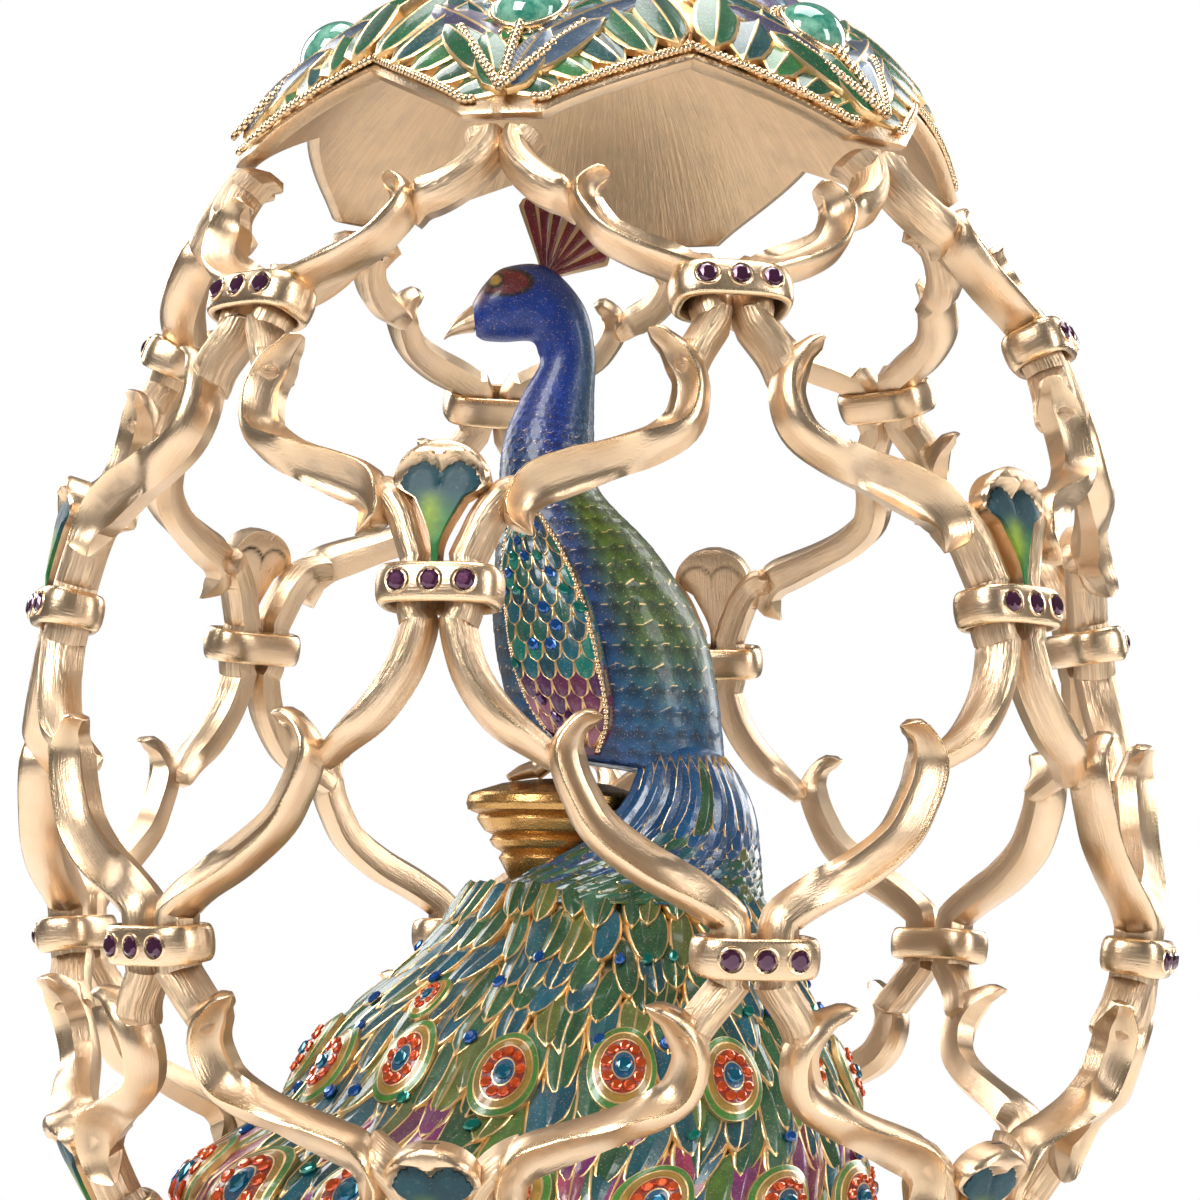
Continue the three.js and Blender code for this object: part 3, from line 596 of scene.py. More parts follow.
@dataclass
class Trellis:
    """The twelve waved rods, each a chain of scrolls joined by stubs that pass through the bands."""

    half_width: float = 2.2 * MM
    half_depth: float = 2.4 * MM
    gap: float = 0.3 * MM
    band_reach: float = 2.75 * MM
    step: float = 0.8 * MM
    front_columns: int = 8
    back_columns: int = 5
    edge: float = -0.3
    hollow: float = 2.7
    lip: float = 0.2

    def pair_share(self, level: Array) -> Array:
        """Share of the half step at which a rod's back just clears its neighbour's."""
        back = SKIN.girth(level) - 2 * self.half_depth * SKIN.slope(level)[0]
        return np.arcsin((self.half_width + self.gap / 2) / back) / math.radians(HALF_STEP)

    def spot(self, row: int, way: float, drop: float) -> tuple[float, float]:
        """Azimuth in shares of the half step, and level, of a place on the route below a row."""
        below = min(row + 1, len(ROW_LEVELS) - 1)
        level = ROW_LEVELS[row] + (ROW_LEVELS[below] - ROW_LEVELS[row]) * drop
        return (way if row in PLAIN_ROWS else 1 - way), level

    def through(self, row: int, sides: Sequence[int]) -> list[tuple[float, float]]:
        """Where a rod enters (1) and leaves (-1) the band of a row, in shares and levels."""
        found = []
        for side in sides:
            level = float(SKIN.after(ROW_LEVELS[row], side * self.band_reach))
            share = float(self.pair_share(level))
            found.append((share if row in PLAIN_ROWS else 1 - share, level))
        return found

    def strokes(self) -> list[tuple[list[tuple[float, float]], Stroke]]:
        """Every stroke of one rod, with its route in shares and levels."""
        made = []
        for row in range(len(ROW_LEVELS)):
            plain = row in PLAIN_ROWS
            last = row == len(ROW_LEVELS) - 1
            if plain:
                stroke = SCROLL_TO_BAND
                above = [self.spot(row - 1, way, drop) for way, drop in stroke.route]
                sides = (1,) if last else (1, -1)
                level = ROW_LEVELS[row]
                end = [(float(self.pair_share(level)), level)] if last else [
                    self.spot(row, way, drop) for way, drop in ((0.07, 0.09), (0.15, 0.2), (0.2, 0.3))]
                made.append((above + self.through(row, sides) + end, stroke))
                if not last:
                    made.append(([self.spot(row, way, drop) for way, drop in LONG_SCROLL.route], LONG_SCROLL))
            else:
                stroke = STUB_PAST_BAND
                above = [] if row == 0 else [
                    self.spot(row - 1, way, drop) for way, drop in ((0.71, 0.66), (0.79, 0.687), (0.855, 0.76),
                                                                    (0.897, 0.85), (0.93, 0.93))]
                start = [(1 - float(self.pair_share(ROW_LEVELS[0])), ROW_LEVELS[0])] if row == 0 else []
                sides = (-1,) if row == 0 else (1, -1)
                below = [self.spot(row, way, drop) for way, drop in stroke.route]
                made.append((start + above + self.through(row, sides) + below, stroke))
        return made

    def section(self, ridge: Array, left: Array, right: Array) -> tuple[Array, Array]:
        """Across and outward shares of each ring's points.

        The front rises from each edge to the ridge: a quarter ellipse, eased towards a hollow power curve
        with a lip by the scoop. The back is nearly flat. Both meet at the edges.

        Args:
            ridge: the ridge's place across each ring.
            left: the scoop of the side towards -1.
            right: the scoop of the side towards +1.

        Returns:
            Two arrays by ring and point.
        """
        share = np.linspace(0, 1, self.front_columns + 1)[None, :] ** 1.25
        sides = []
        for toward, scoop in ((1, right), (-1, left)):
            across = ridge[:, None] + (toward - ridge[:, None]) * share
            full = np.sqrt(np.maximum(0, 1 - share ** 2))
            scooped = (1 - share) ** self.hollow + self.lip * bump(share, 0.96, 0.1)
            rise = full + (scooped - full) * scoop[:, None]
            sides.append((across, self.edge + (1 - self.edge) * rise))
        back = np.linspace(-1, 1, self.back_columns + 2)[None, 1:-1] * np.ones_like(ridge[:, None])
        floor = -1 + 0.45 * np.abs(back) ** 5
        across = np.hstack([sides[0][0][:, ::-1], sides[1][0][:, 1:], back])
        outward = np.hstack([sides[0][1][:, ::-1], sides[1][1][:, 1:], floor])
        return across, outward

    def sweep(self, route: Sequence[tuple[float, float]], stroke: Stroke) -> Draft:
        """One stroke as a closed body.

        Args:
            route: shares of the half step and levels along it.
            stroke: how its section changes.

        Returns:
            A draft with the one body.
        """
        scale = np.array([math.radians(HALF_STEP) * SKIN.radius, 1.0])
        rough = spline(np.asarray(route) * scale, 200)
        length = float(np.linalg.norm(np.diff(rough, axis=0), axis=1).sum())
        count = max(24, int(length / self.step))
        path = spline(np.asarray(route) * scale, count) / scale
        azimuth, level = np.radians(HALF_STEP * path[:, 0]), path[:, 1]
        along = np.linspace(0, 1, count)
        ends = np.minimum(along, 1 - along) * length / (1.3 * MM)
        nose = np.sqrt(np.clip(1 - (1 - np.clip(ends, 0, 1)) ** 2, 0.02, 1))
        lift = keyed(along, stroke.lift) * 2 * self.half_depth
        middle = SKIN.point(azimuth, level, lift - self.half_depth)
        out = SKIN.normal(azimuth, level)
        forward = unit(np.gradient(middle, axis=0))
        side = unit(np.cross(out, forward))
        ridge, left, right, bark, width = (keyed(along, keys) for keys in (
            stroke.ridge, stroke.left, stroke.right, stroke.bark, stroke.width))
        across, outward = self.section(ridge, left, right)
        half = (width * self.half_width * nose)[:, None]
        deep = (self.half_depth * (0.35 + 0.65 * nose) * np.minimum(1, width + 0.15))[:, None]
        rings = middle[:, None] + side[:, None] * (across * half)[..., None] \
            + out[:, None] * (outward * deep)[..., None]
        place = triple(across * half, outward * deep, (along * length)[:, None])
        scoop = np.where(across > ridge[:, None], right[:, None], left[:, None])
        front = outward > -0.4
        # Painted shade: the scooped faces darken partway up, and the rod's back is darker.
        shade_and_dirt = scoop * front * bump(outward, 0.25, 0.42) * 0.42 + 0.10 * (outward < -0.5)
        # Painted highlight: a pale line of highlight gold along the ridge.
        sheen_and_wear = bump(across - ridge[:, None], 0, 0.12) * front
        return Draft().tube(rings, place, triple(sheen_and_wear, shade_and_dirt, bark[:, None] * (0.35 + 0.65 * front)))

    def rod(self) -> Mesh:
        """One rod, right of its meridian: its strokes fused into one closed skin."""
        bodies = []
        for number, (route, stroke) in enumerate(self.strokes()):
            body = bpy.data.objects.new(f"stroke_{number}", self.sweep(route, stroke).mesh("stroke", 180))
            bpy.context.scene.collection.objects.link(body)
            bodies.append(body)
        whole = bodies[0]
        for body in bodies[1:]:
            join = whole.modifiers.new("join", "BOOLEAN")
            join.operation, join.solver, join.object = "UNION", "MANIFOLD", body
        bpy.context.view_layer.update()
        fused = bpy.data.meshes.new_from_object(whole.evaluated_get(bpy.context.evaluated_depsgraph_get()))
        for body in bodies:
            bpy.data.objects.remove(body)
        fused.validate()
        fused.shade_smooth()
        fused.set_sharp_from_angle(angle=math.radians(33))
        return fused

    def build(self, gilt: Material) -> None:
        """Shows all twelve rods."""
        rod = self.rod()
        for pair in range(PAIRS):
            azimuth = FIRST_AZIMUTH + 2 * HALF_STEP * pair
            for hand, mirror in (("right", False), ("left", True)):
                name = f"trellis_rod_{hand}_{pair + 1}"
                Piece.show(f"waved_{name}", Piece.turned(rod, azimuth, mirror), gilt, "gilt", [name])


SCROLL_TO_BAND = Stroke(
    route=((0.525, 0.354), (0.462, 0.365), (0.42, 0.425), (0.425, 0.488), (0.463, 0.57), (0.525, 0.658),
           (0.65, 0.745), (0.79, 0.815), (0.90, 0.882)),
    width=((0, 0.34), (0.05, 0.52), (0.14, 0.86), (0.45, 1.0), (0.62, 0.95), (0.8, 0.9), (1, 0.86)),
    ridge=((0, 0.2), (0.15, 0.45), (0.5, 0.45), (0.66, 0.1), (1, 0.0)),
    left=((0, 0.9), (0.45, 1.0), (0.62, 0.2), (0.7, 0.0), (1, 0.0)),
    bark=((0, 0.0), (0.55, 0.0), (0.7, 0.35), (0.76, 1.0), (1, 1.0)),
    lift=((0, 0.22), (0.14, 0.04), (0.3, 0.0), (0.9, 0.0), (1, -0.12)))

LONG_SCROLL = Stroke(
    route=((0.334, 0.158), (0.265, 0.19), (0.205, 0.255), (0.18, 0.34), (0.217, 0.45), (0.33, 0.526),
           (0.466, 0.58), (0.60, 0.628), (0.70, 0.668), (0.75, 0.735), (0.745, 0.785), (0.707, 0.836)),
    width=((0, 0.32), (0.05, 0.5), (0.14, 0.84), (0.3, 0.98), (0.55, 0.92), (0.8, 1.08), (0.93, 0.75),
           (1, 0.2)),
    ridge=((0, -0.05), (0.3, -0.15), (0.52, 0.5), (0.7, 0.78), (1, 0.6)),
    left=((0, 0.0), (0.42, 0.0), (0.62, 0.9), (0.75, 1.0), (1, 1.0)),
    right=((0, 0.9), (0.3, 0.9), (0.55, 0.1), (1, 0.0)),
    lift=((0, 0.24), (0.12, 0.05), (0.3, 0.0), (0.78, 0.0), (1, 0.22)))

STUB_PAST_BAND = Stroke(
    route=((0.06, 0.094), (0.107, 0.23), (0.208, 0.355), (0.342, 0.442), (0.41, 0.482)),
    width=((0, 0.8), (0.2, 0.9), (0.5, 0.88), (0.75, 0.9), (1, 0.6)),
    ridge=((0, 0.0), (0.55, 0.0), (0.8, -0.3), (1, -0.3)),
    left=((0, 0.0), (0.6, 0.0), (0.85, 0.35), (1, 0.35)),
    bark=((0, 0.85), (0.45, 1.0), (0.62, 0.6), (0.8, 0.15), (1, 0.1)),
    lift=((0, -0.36), (0.1, 0.0), (0.82, 0.0), (1, -0.38)))


@dataclass
class Bands:
    """The bands round each pair of rods, with three crystals in each."""

    height: float = 4.1 * MM
    half_width: float = 6.25 * MM
    half_depth: float = 3.65 * MM
    wall: float = 1.15 * MM
    rod_depth: float = 4.8 * MM
    stone_radius: float = 1.12 * MM
    stone_spacing: float = 3.45 * MM
    samples: int = 60
    power: float = 0.62
    purple: Colour = (0.085, 0.018, 0.06)

    def loop(self, inset: float) -> tuple[Array, Array, Array, Array]:
        """The band's run round the rods, a superellipse, and the direction out of it, across and outward."""
        angle = circle(self.samples)
        cos, sin = np.cos(angle), np.sin(angle)
        across = (self.half_width - inset) * np.sign(cos) * np.abs(cos) ** self.power
        outward = (self.half_depth - inset) * np.sign(sin) * np.abs(sin) ** self.power
        run = np.stack([np.roll(across, -1) - np.roll(across, 1), np.roll(outward, -1) - np.roll(outward, 1)])
        run /= np.hypot(*run)
        return across, outward, run[1], -run[0]

    def ring(self, level: float, draft: Draft) -> None:
        """Adds the ring: its section is a rounded oblong, fuller outside, carried round the loop."""
        across, outward, away_x, away_y = self.loop(self.wall / 2)
        angle = circle(20)
        thick = self.wall / 2 * np.sign(np.cos(angle)) * np.abs(np.cos(angle)) ** 0.7
        tall = self.height / 2 * np.sign(np.sin(angle)) * np.abs(np.sin(angle)) ** self.power
        thick += 0.22 * MM * (np.cos(angle) > 0) * (1 - (2 * tall / self.height) ** 2)
        rings = SKIN.flat(level, across[:, None] + away_x[:, None] * thick,
                          tall[None, :] + 0 * across[:, None],
                          outward[:, None] + away_y[:, None] * thick - self.rod_depth / 2)
        travel = np.arange(self.samples)[:, None] * 0.5 * MM
        # Painted highlight along the top and bottom edges of the outer face; painted shade on the inner face,
        # towards the rods.
        edge = bump(np.abs(tall), self.height * 0.46, 0.35 * MM) * (np.cos(angle) > 0)
        shade_and_dirt = 0.55 * (np.cos(angle) < -0.2)
        draft.hoop(rings, triple(thick, tall, travel), triple(edge, shade_and_dirt, 0 * travel))

    def seats(self, level: float, draft: Draft) -> None:
        """Adds the raised collar round each crystal."""
        turn = circle(20)
        around = circle(8)
        for centre in self.centres():
            radius = self.stone_radius + 0.12 * MM + 0.17 * MM * np.cos(around)
            across = centre + np.sin(turn)[:, None] * radius
            up = np.cos(turn)[:, None] * radius
            out = self.face(across) + 0.17 * MM * np.sin(around)
            draft.hoop(SKIN.flat(level, across, up, out), None, triple(0.9 + 0 * across, 0, 0))

    def centres(self) -> list[float]:
        """How far across each crystal sits."""
        return [self.stone_spacing * k for k in (-1, 0, 1)]

    def face(self, across: Array) -> Array:
        """How far out of the skin the band's front stands, falling off towards its corners."""
        share = np.clip(np.abs(across) / self.half_width, 0, 0.98)
        fall = 1 - (1 - share ** (1 / self.power * 2)) ** (self.power / 2)
        return self.half_depth * (1 - fall) - self.rod_depth / 2 + 0.16 * MM

    def crystals(self, level: float, draft: Draft) -> None:
        """Adds the three cut crystals of one band."""
        for centre in self.centres():
            cut_stone(draft, self.stone_radius, self.purple, lambda x, y, z, c=centre: SKIN.flat(
                level, c + x, y, self.face(np.full_like(x, c)) + z - 0.1 * MM))

    def build(self, gilt: Material, crystal: Material) -> None:
        """Shows the plain bands of rows 1 and 3 and every crystal of rows 1 to 4."""
        for row, label in ((1, "upper"), (3, "middle")):
            draft = Draft()
            self.ring(ROW_LEVELS[row], draft)
            self.seats(ROW_LEVELS[row], draft)
            mesh = draft.mesh(f"{label}_band")
            for pair in range(PAIRS):
                name = f"{label}_band_{pair + 1}"
                Piece.show(f"rounded_{name}", Piece.turned(mesh, FIRST_AZIMUTH + 2 * HALF_STEP * pair), gilt,
                           "gilt", [name])
        for row in (1, 2, 3, 4):
            stones = Draft()
            self.crystals(ROW_LEVELS[row], stones)
            mesh = stones.mesh("crystals", 5)
            for pair in range(PAIRS):
                azimuth = FIRST_AZIMUTH + HALF_STEP * (2 * pair - (0 if row in PLAIN_ROWS else 1))
                Piece.show(f"crystals_{row}_{pair + 1}", Piece.turned(mesh, azimuth), crystal, "jade")


def cut_stone(draft: Draft, radius: float, colour: Colour, lay: Callable) -> None:
    """Adds a round cut stone: a flat table, two rows of facets and a girdle.

    Args:
        draft: where it goes.
        radius: of its girdle.
        colour: of the whole stone.
        lay: places it, from across, up and outward distances.
    """
    sides = 8
    rings = []
    for share, height, twist in ((0.98, -0.25, 0.5), (1.0, 0.05, 0.5), (0.82, 0.34, 0.0), (0.55, 0.5, 0.5)):
        angle = 2 * math.pi * (np.arange(sides) + twist) / sides
        rings.append(triple(share * np.sin(angle), share * np.cos(angle), height))
    shape = np.stack(rings) * radius
    placed = lay(shape[..., 0], shape[..., 1], shape[..., 2])
    draft.tube(placed, None, even(colour, placed))


# The cap, the stones on it and the finial

LEAF_ROWS = 8
LEAF_SIDES = (-1.0, -0.86, -0.7, -0.12, 0.0, 0.12, 0.7, 0.86, 1.0)


@dataclass(frozen=True)
class Leaf:
    """One enamelled leaf or feather with a gilt edge, drawn across and along.

    Attributes:
        length: from its root to its tip.
        half_width: at its widest.
        crown: height of its middle over its edges.
        lift: how far its tip rises over its root.
        point: over 1 draws the tip out, under 1 rounds it.
        edge: share of the half width that its gilt edge takes.
        rib: half width of its gilt midrib, as a share, or 0 for none.
    """

    length: float
    half_width: float
    crown: float = 0.6 * MM
    lift: float = 0.5 * MM
    point: float = 1.0
    edge: float = 0.2
    rib: float = 0.0

    def grid(self) -> tuple[Array, Array, Array, Array]:
        """Across, along and raised distances, and the share of bare gilt, at each point.

        The half width follows the root of a parabola between root and tip; the middle is crowned by another.
        """
        share = np.linspace(0, 1, LEAF_ROWS)[:, None]
        side = np.array(LEAF_SIDES)[None, :]
        shape = (4 * share * (1 - share)) ** (0.5 * self.point) * (1.12 - 0.35 * share) + 0.02
        across = side * self.half_width * shape
        along = share * self.length + 0 * side
        raised = self.crown * (1 - side ** 2) * np.sqrt(np.clip(4 * share * (1 - share), 0, 1)) \
            + self.lift * share ** 1.5 + 0 * side
        rim = np.abs(side) - (1 - self.edge)
        ends = np.maximum(share - 0.95, 0.05 - share)
        spine = self.rib - np.abs(side)
        bare = 0.5 + 4.0 * np.maximum(np.maximum(rim, ends), spine if self.rib else rim)
        raised = raised + 0.16 * MM * smooth(bare, 0.3, 0.7)
        return across, along, raised, np.clip(bare, 0, 1)


def lay_leaf(draft: Draft, leaf: Leaf, place_on: Callable, colour: Colour, thickness: float = 0.7 * MM,
             lift: float = 0.0, shade: float = 0.0) -> None:
    """Adds one leaf to a draft, laid on a surface.

    Args:
        draft: where it goes.
        leaf: its shape.
        place_on: gives places from across, along and outward distances.
        colour: of its enamel.
        thickness: of its edge.
        lift: outward distance of its root.
        shade: how much darker its enamel pools, from 0 to 1.
    """
    across, along, raised, bare = leaf.grid()
    front = place_on(across, along, raised + lift)
    back = place_on(across, along, 0 * raised + lift - thickness)
    draft.plate(front, back, triple(bare, shade, along / leaf.length), even(colour, front))


def lay_on_skin(azimuth: float, level: float, heading: float) -> Callable:
    """Gives a function that lays distances on the egg's skin from a root, along a heading from straight up.

    Args:
        azimuth: of the root, in radians.
        level: of the root.
        heading: in radians, turning towards growing azimuth.

    Returns:
        A function of across, along and outward distances.
    """
    cos, sin = math.cos(heading), math.sin(heading)

    def place(across: Array, along: Array, out: Array) -> Array:
        """Goes up the skin first, then round it."""
        sideways, up = across * cos + along * sin, along * cos - across * sin
        reached = SKIN.after(level, up)
        return SKIN.point(azimuth + sideways / SKIN.girth(reached), reached, out)

    return place


def beads(draft: Draft, centres: Array, normals: Array, radius: float, tint: Colour = (0.8, 0.0, 0.0)) -> None:
    """Adds small low-sided beads, each a dome on its centre along its normal."""
    helper = np.where(np.abs(normals[:, 2:3]) < 0.9, np.array([[0.0, 0.0, 1.0]]), np.array([[1.0, 0.0, 0.0]]))
    first = unit(np.cross(normals, helper))
    second = np.cross(normals, first)
    turn = circle(7)
    for centre, normal, one, two in zip(centres, normals, first, second):
        rings = np.stack([centre + radius * (
            wide * (np.cos(turn)[:, None] * one + np.sin(turn)[:, None] * two) + high * normal)
            for wide, high in ((0.9, -0.4), (1.0, 0.1), (0.72, 0.7))])
        top = centre + radius * normal
        draft.tube(rings, None, even(tint, rings), (None, top))


@dataclass
class Cap:
    """The dome over the cage: gilt inside, covered outside with enamelled feathers between beaded ribs."""

    wall: float = 2.4 * MM
    proud: float = 0.8 * MM
    arch_level: float = 87 * MM
    tip_share: float = 0.21
    gap: float = 0.3 * MM
    cabochon_level: float = 91.4 * MM
    cabochon_radius: float = 4.0 * MM
    cabochon_height: float = 3.3 * MM
    finial_radius: float = 5.8 * MM
    finial_height: float = 2.6 * MM
    stone_radius: float = 4.4 * MM
    stone_height: float = 3.4 * MM
    greens: tuple = ((0.010, 0.13, 0.045), (0.006, 0.085, 0.04), (0.03, 0.19, 0.05), (0.005, 0.075, 0.075))
    blues: tuple = ((0.10, 0.16, 0.24), (0.16, 0.13, 0.24), (0.012, 0.10, 0.17))

    def hem(self, share: Array) -> Array:
        """The hem's level at a distance from the nearest tip, in shares of the half step."""
        rise = np.clip((share - self.tip_share) / (1 - self.tip_share), 0, 1)
        tip = float(SKIN.after(ROW_LEVELS[0], self.gap))
        return tip + (self.arch_level - tip) * rise ** 0.8

    def shell(self) -> Mesh:
        """The dome itself: an inner and an outer face that meet in a rounded hem."""
        angle = circle(PAIRS * 40)
        offset = (np.degrees(angle) / HALF_STEP + 1) % 2 - 1
        hem = np.arcsin(self.hem(np.abs(offset)) / SKIN.upper)
        ways = [(way, self.proud - self.wall) for way in np.linspace(0.985, 0.0, 22)]
        ways += [(-0.012, self.proud - self.wall * 0.62), (-0.012, self.proud - self.wall * 0.3)]
        ways += [(way, self.proud - 0.5 * MM) for way in np.linspace(0.0, 0.985, 22)]
        rings, places = [], []
        for way, out in ways:
            level = SKIN.upper * np.sin(hem + (math.pi / 2 - hem) * way)
            rings.append(SKIN.point(angle, level, out))
            places.append(triple(angle * 0.03, out, level))
        inner = (np.arange(len(ways))[:, None] < 23) + 0 * angle
        # The inner face gets painted shade and bark; the whole shell a light sheen.
        tint = triple(0.25, 0.16 * inner, 0.22 * inner)
        return Draft().tube(np.stack(rings), np.stack(places), tint).mesh("cap_shell")

    def feathers(self, draft: Draft, knots: Draft) -> None:
        """Adds one sector's feathers, centred on the tip at azimuth 0, and its beads."""
        tip = float(SKIN.after(ROW_LEVELS[0], self.gap))
        pick = np.random.default_rng(11)
        out = self.proud - 0.5 * MM
        for side in (-1, 1):
            for order in range(5):
                share = 0.30 + 0.15 * order
                azimuth = side * math.radians(HALF_STEP * share)
                level = float(self.hem(np.array(share))) - 0.2 * MM
                heading = -side * (1.15 - 0.22 * order)
                leaf = Leaf(15 * MM - order * 0.6 * MM, 2.7 * MM, 0.9 * MM, 0.5 * MM, 1.15, 0.17, 0.07)
                lay_leaf(draft, leaf, lay_on_skin(azimuth, level + 0.6 * MM, heading),
                         self.greens[(order + (side > 0)) % 4], lift=out + 0.35 * MM * order)
            for order, (share, level, heading, length, wide, shade) in enumerate((
                    (0.02, tip + 1.2 * MM, 0.32, 9.5, 2.2, 0), (0.06, tip + 3.5 * MM, 0.75, 11.0, 2.4, 1),
                    (0.10, tip + 7.5 * MM, 0.95, 12.5, 2.6, 2), (0.22, tip + 10.5 * MM, 0.9, 12.0, 2.4, 0))):
                leaf = Leaf(length * MM, wide * MM, 1.0 * MM, 0.9 * MM, 0.95, 0.16, 0.06)
                colour = (self.greens + self.blues)[int(pick.integers(0, 7))]
                azimuth = side * math.radians(HALF_STEP * share)
                lay_leaf(draft, leaf, lay_on_skin(azimuth, level, side * heading), colour, lift=out + 1.0 * MM,
                         shade=0.3 * shade)
            for order in range(4):
                spread = side * (0.35 + 0.55 * order)
                leaf = Leaf(8.5 * MM, 2.0 * MM, 1.0 * MM, 0.4 * MM, 0.8, 0.18, 0.0)
                level = self.cabochon_level + (2.6 * MM if order < 2 else 0.0)
                lay_leaf(draft, leaf, lay_on_skin(0.0, float(level), spread), self.blues[order % 3],
                         lift=out + 0.6 * MM)
        for order in range(7):
            azimuth = math.radians(HALF_STEP * (-0.9 + 0.3 * order))
            leaf = Leaf(13 * MM, 2.6 * MM, 1.1 * MM, 0.7 * MM, 0.9, 0.18, 0.06)
            lay_leaf(draft, leaf, lay_on_skin(azimuth, 96.5 * MM + (order % 2) * 0.6 * MM, 0.12),
                     self.greens[order % 4], lift=out + 0.7 * MM)
        stem = np.linspace(0, 1, 15)
        for heading in (-0.55, 0.0, 0.55):
            path = lay_on_skin(0.0, tip + 0.8 * MM, heading)(
                0 * stem, stem * 12.5 * MM, 0 * stem + out + 1.9 * MM)
            normals = np.broadcast_to(SKIN.normal(np.array(0.0), np.array(tip)), path.shape)
            beads(knots, path, normals, 0.62 * MM)
        for side in (-1, 1):
            share = np.linspace(0.16, 1.0, 30)
            azimuth = side * np.radians(HALF_STEP * share)
            level = self.hem(share) + 0.7 * MM
            beads(knots, SKIN.point(azimuth, level, out + 0.5 * MM), SKIN.normal(azimuth, level), 0.55 * MM)

    def bezel(self, draft: Draft) -> None:
        """Adds the gilt ring and its beads round one cabochon on the meridian at azimuth 0."""
        turn, around, bead_turn = circle(48), circle(10), circle(26)
        radius = self.cabochon_radius + 0.1 * MM + 0.45 * MM * np.cos(around)
        rings = self.on_seat(np.sin(turn)[:, None] * radius, np.cos(turn)[:, None] * radius,
                             0.5 * MM + 0.6 * MM * np.sin(around) + 0 * turn[:, None])
        draft.hoop(rings, None, even((0.7, 0.0, 0.0), rings))
        reach = self.cabochon_radius + 0.95 * MM
        centres = self.on_seat(np.sin(bead_turn) * reach, np.cos(bead_turn) * reach, 0.1 * MM + 0 * bead_turn)
        beads(draft, centres, np.broadcast_to(self.seat()[1], centres.shape), 0.48 * MM)

    def seat(self) -> tuple[Array, Array, Array]:
        """A cabochon's seat: its middle, its normal and the way up it, at azimuth 0."""
        outward, upward = (float(part) for part in SKIN.slope(self.cabochon_level))
        middle = SKIN.point(np.array(0.0), np.array(self.cabochon_level), self.proud + self.gap)
        return middle, np.array([0, -outward, upward]), np.array([0, upward, outward])

    def on_seat(self, across: Array, up: Array, out: Array) -> Array:
        """Places from distances across, up and out of the seat."""
        middle, normal, rise = self.seat()
        return middle + triple(across, 0, 0) + up[..., None] * rise + out[..., None] * normal

    def dome(self, radius: float, height: float) -> Array:
        """Rings of a polished stone: a flat back, a short girdle and a dome that follows an ellipse."""
        angle = np.linspace(0.06, math.pi / 2 - 0.04, 14)
        profile = [(radius * 0.93, 0.0), (radius, height * 0.1)]
        profile += [(radius * math.cos(a), height * (0.1 + 0.9 * math.sin(a))) for a in angle]
        return lathe(profile, 40)

    def build(self, gilt: Material, enamel: Material, stone: Material) -> None:
        """Shows the shell, feathers, beads, cabochons and finial."""
        first = FIRST_AZIMUTH - HALF_STEP
        Piece.show("cap_shell", Piece.turned(self.shell(), first), gilt, "feathers", ["cap"])
        feathers, knots = Draft(), Draft()
        self.feathers(feathers, knots)
        self.bezel(knots)
        leaf_mesh, knot_mesh = feathers.mesh("feathers", 50), knots.mesh("knots", 60)
        rings = self.dome(self.cabochon_radius, self.cabochon_height)
        stone_mesh = Draft().tube(self.on_seat(rings[..., 0], rings[..., 1], rings[..., 2])).mesh("cabochon")
        for pair in range(PAIRS):
            azimuth = first + 2 * HALF_STEP * pair
            Piece.show(f"cap_feathers_{pair + 1}", Piece.turned(leaf_mesh, azimuth), enamel, "feathers")
            Piece.show(f"cap_beads_{pair + 1}", Piece.turned(knot_mesh, azimuth), gilt, "gilt")
            Piece.show(f"polished_cabochon_{pair + 1}", Piece.turned(stone_mesh, azimuth), stone, "jade",
                       [f"cabochon_{pair + 1}"])
        self.finial(gilt, stone)

    def finial(self, gilt: Material, stone: Material) -> None:
        """Shows the finial's lobed collar and its stone."""
        foot = SKIN.widest + SKIN.upper + self.proud + self.gap
        radius, height = self.finial_radius, self.finial_height
        profile = spline([(0.3 * MM, 0), (radius * 0.85, 0), (radius * 0.97, height * 0.25),
                          (radius * 0.8, height * 0.62), (radius * 0.84, height * 0.95),
                          (radius * 0.4, height)], 26)
        rings = lathe(profile, 96, lambda angle, z, r: 0.035 * r * np.cos(12 * angle))
        rings[..., 2] += foot
        draft = Draft().tube(rings, None, even((0.3, 0.2, 0.0), rings))
        Piece.show("lobed_finial", draft.mesh("finial"), gilt, "gilt", ["finial"])
        rings = self.dome(self.stone_radius, self.stone_height)
        rings[..., 2] += foot + height + self.gap
        Piece.show("polished_finial_stone", Draft().tube(rings).mesh("finial_stone"), stone, "jade",
                   ["finial_stone"])


# The palmettes

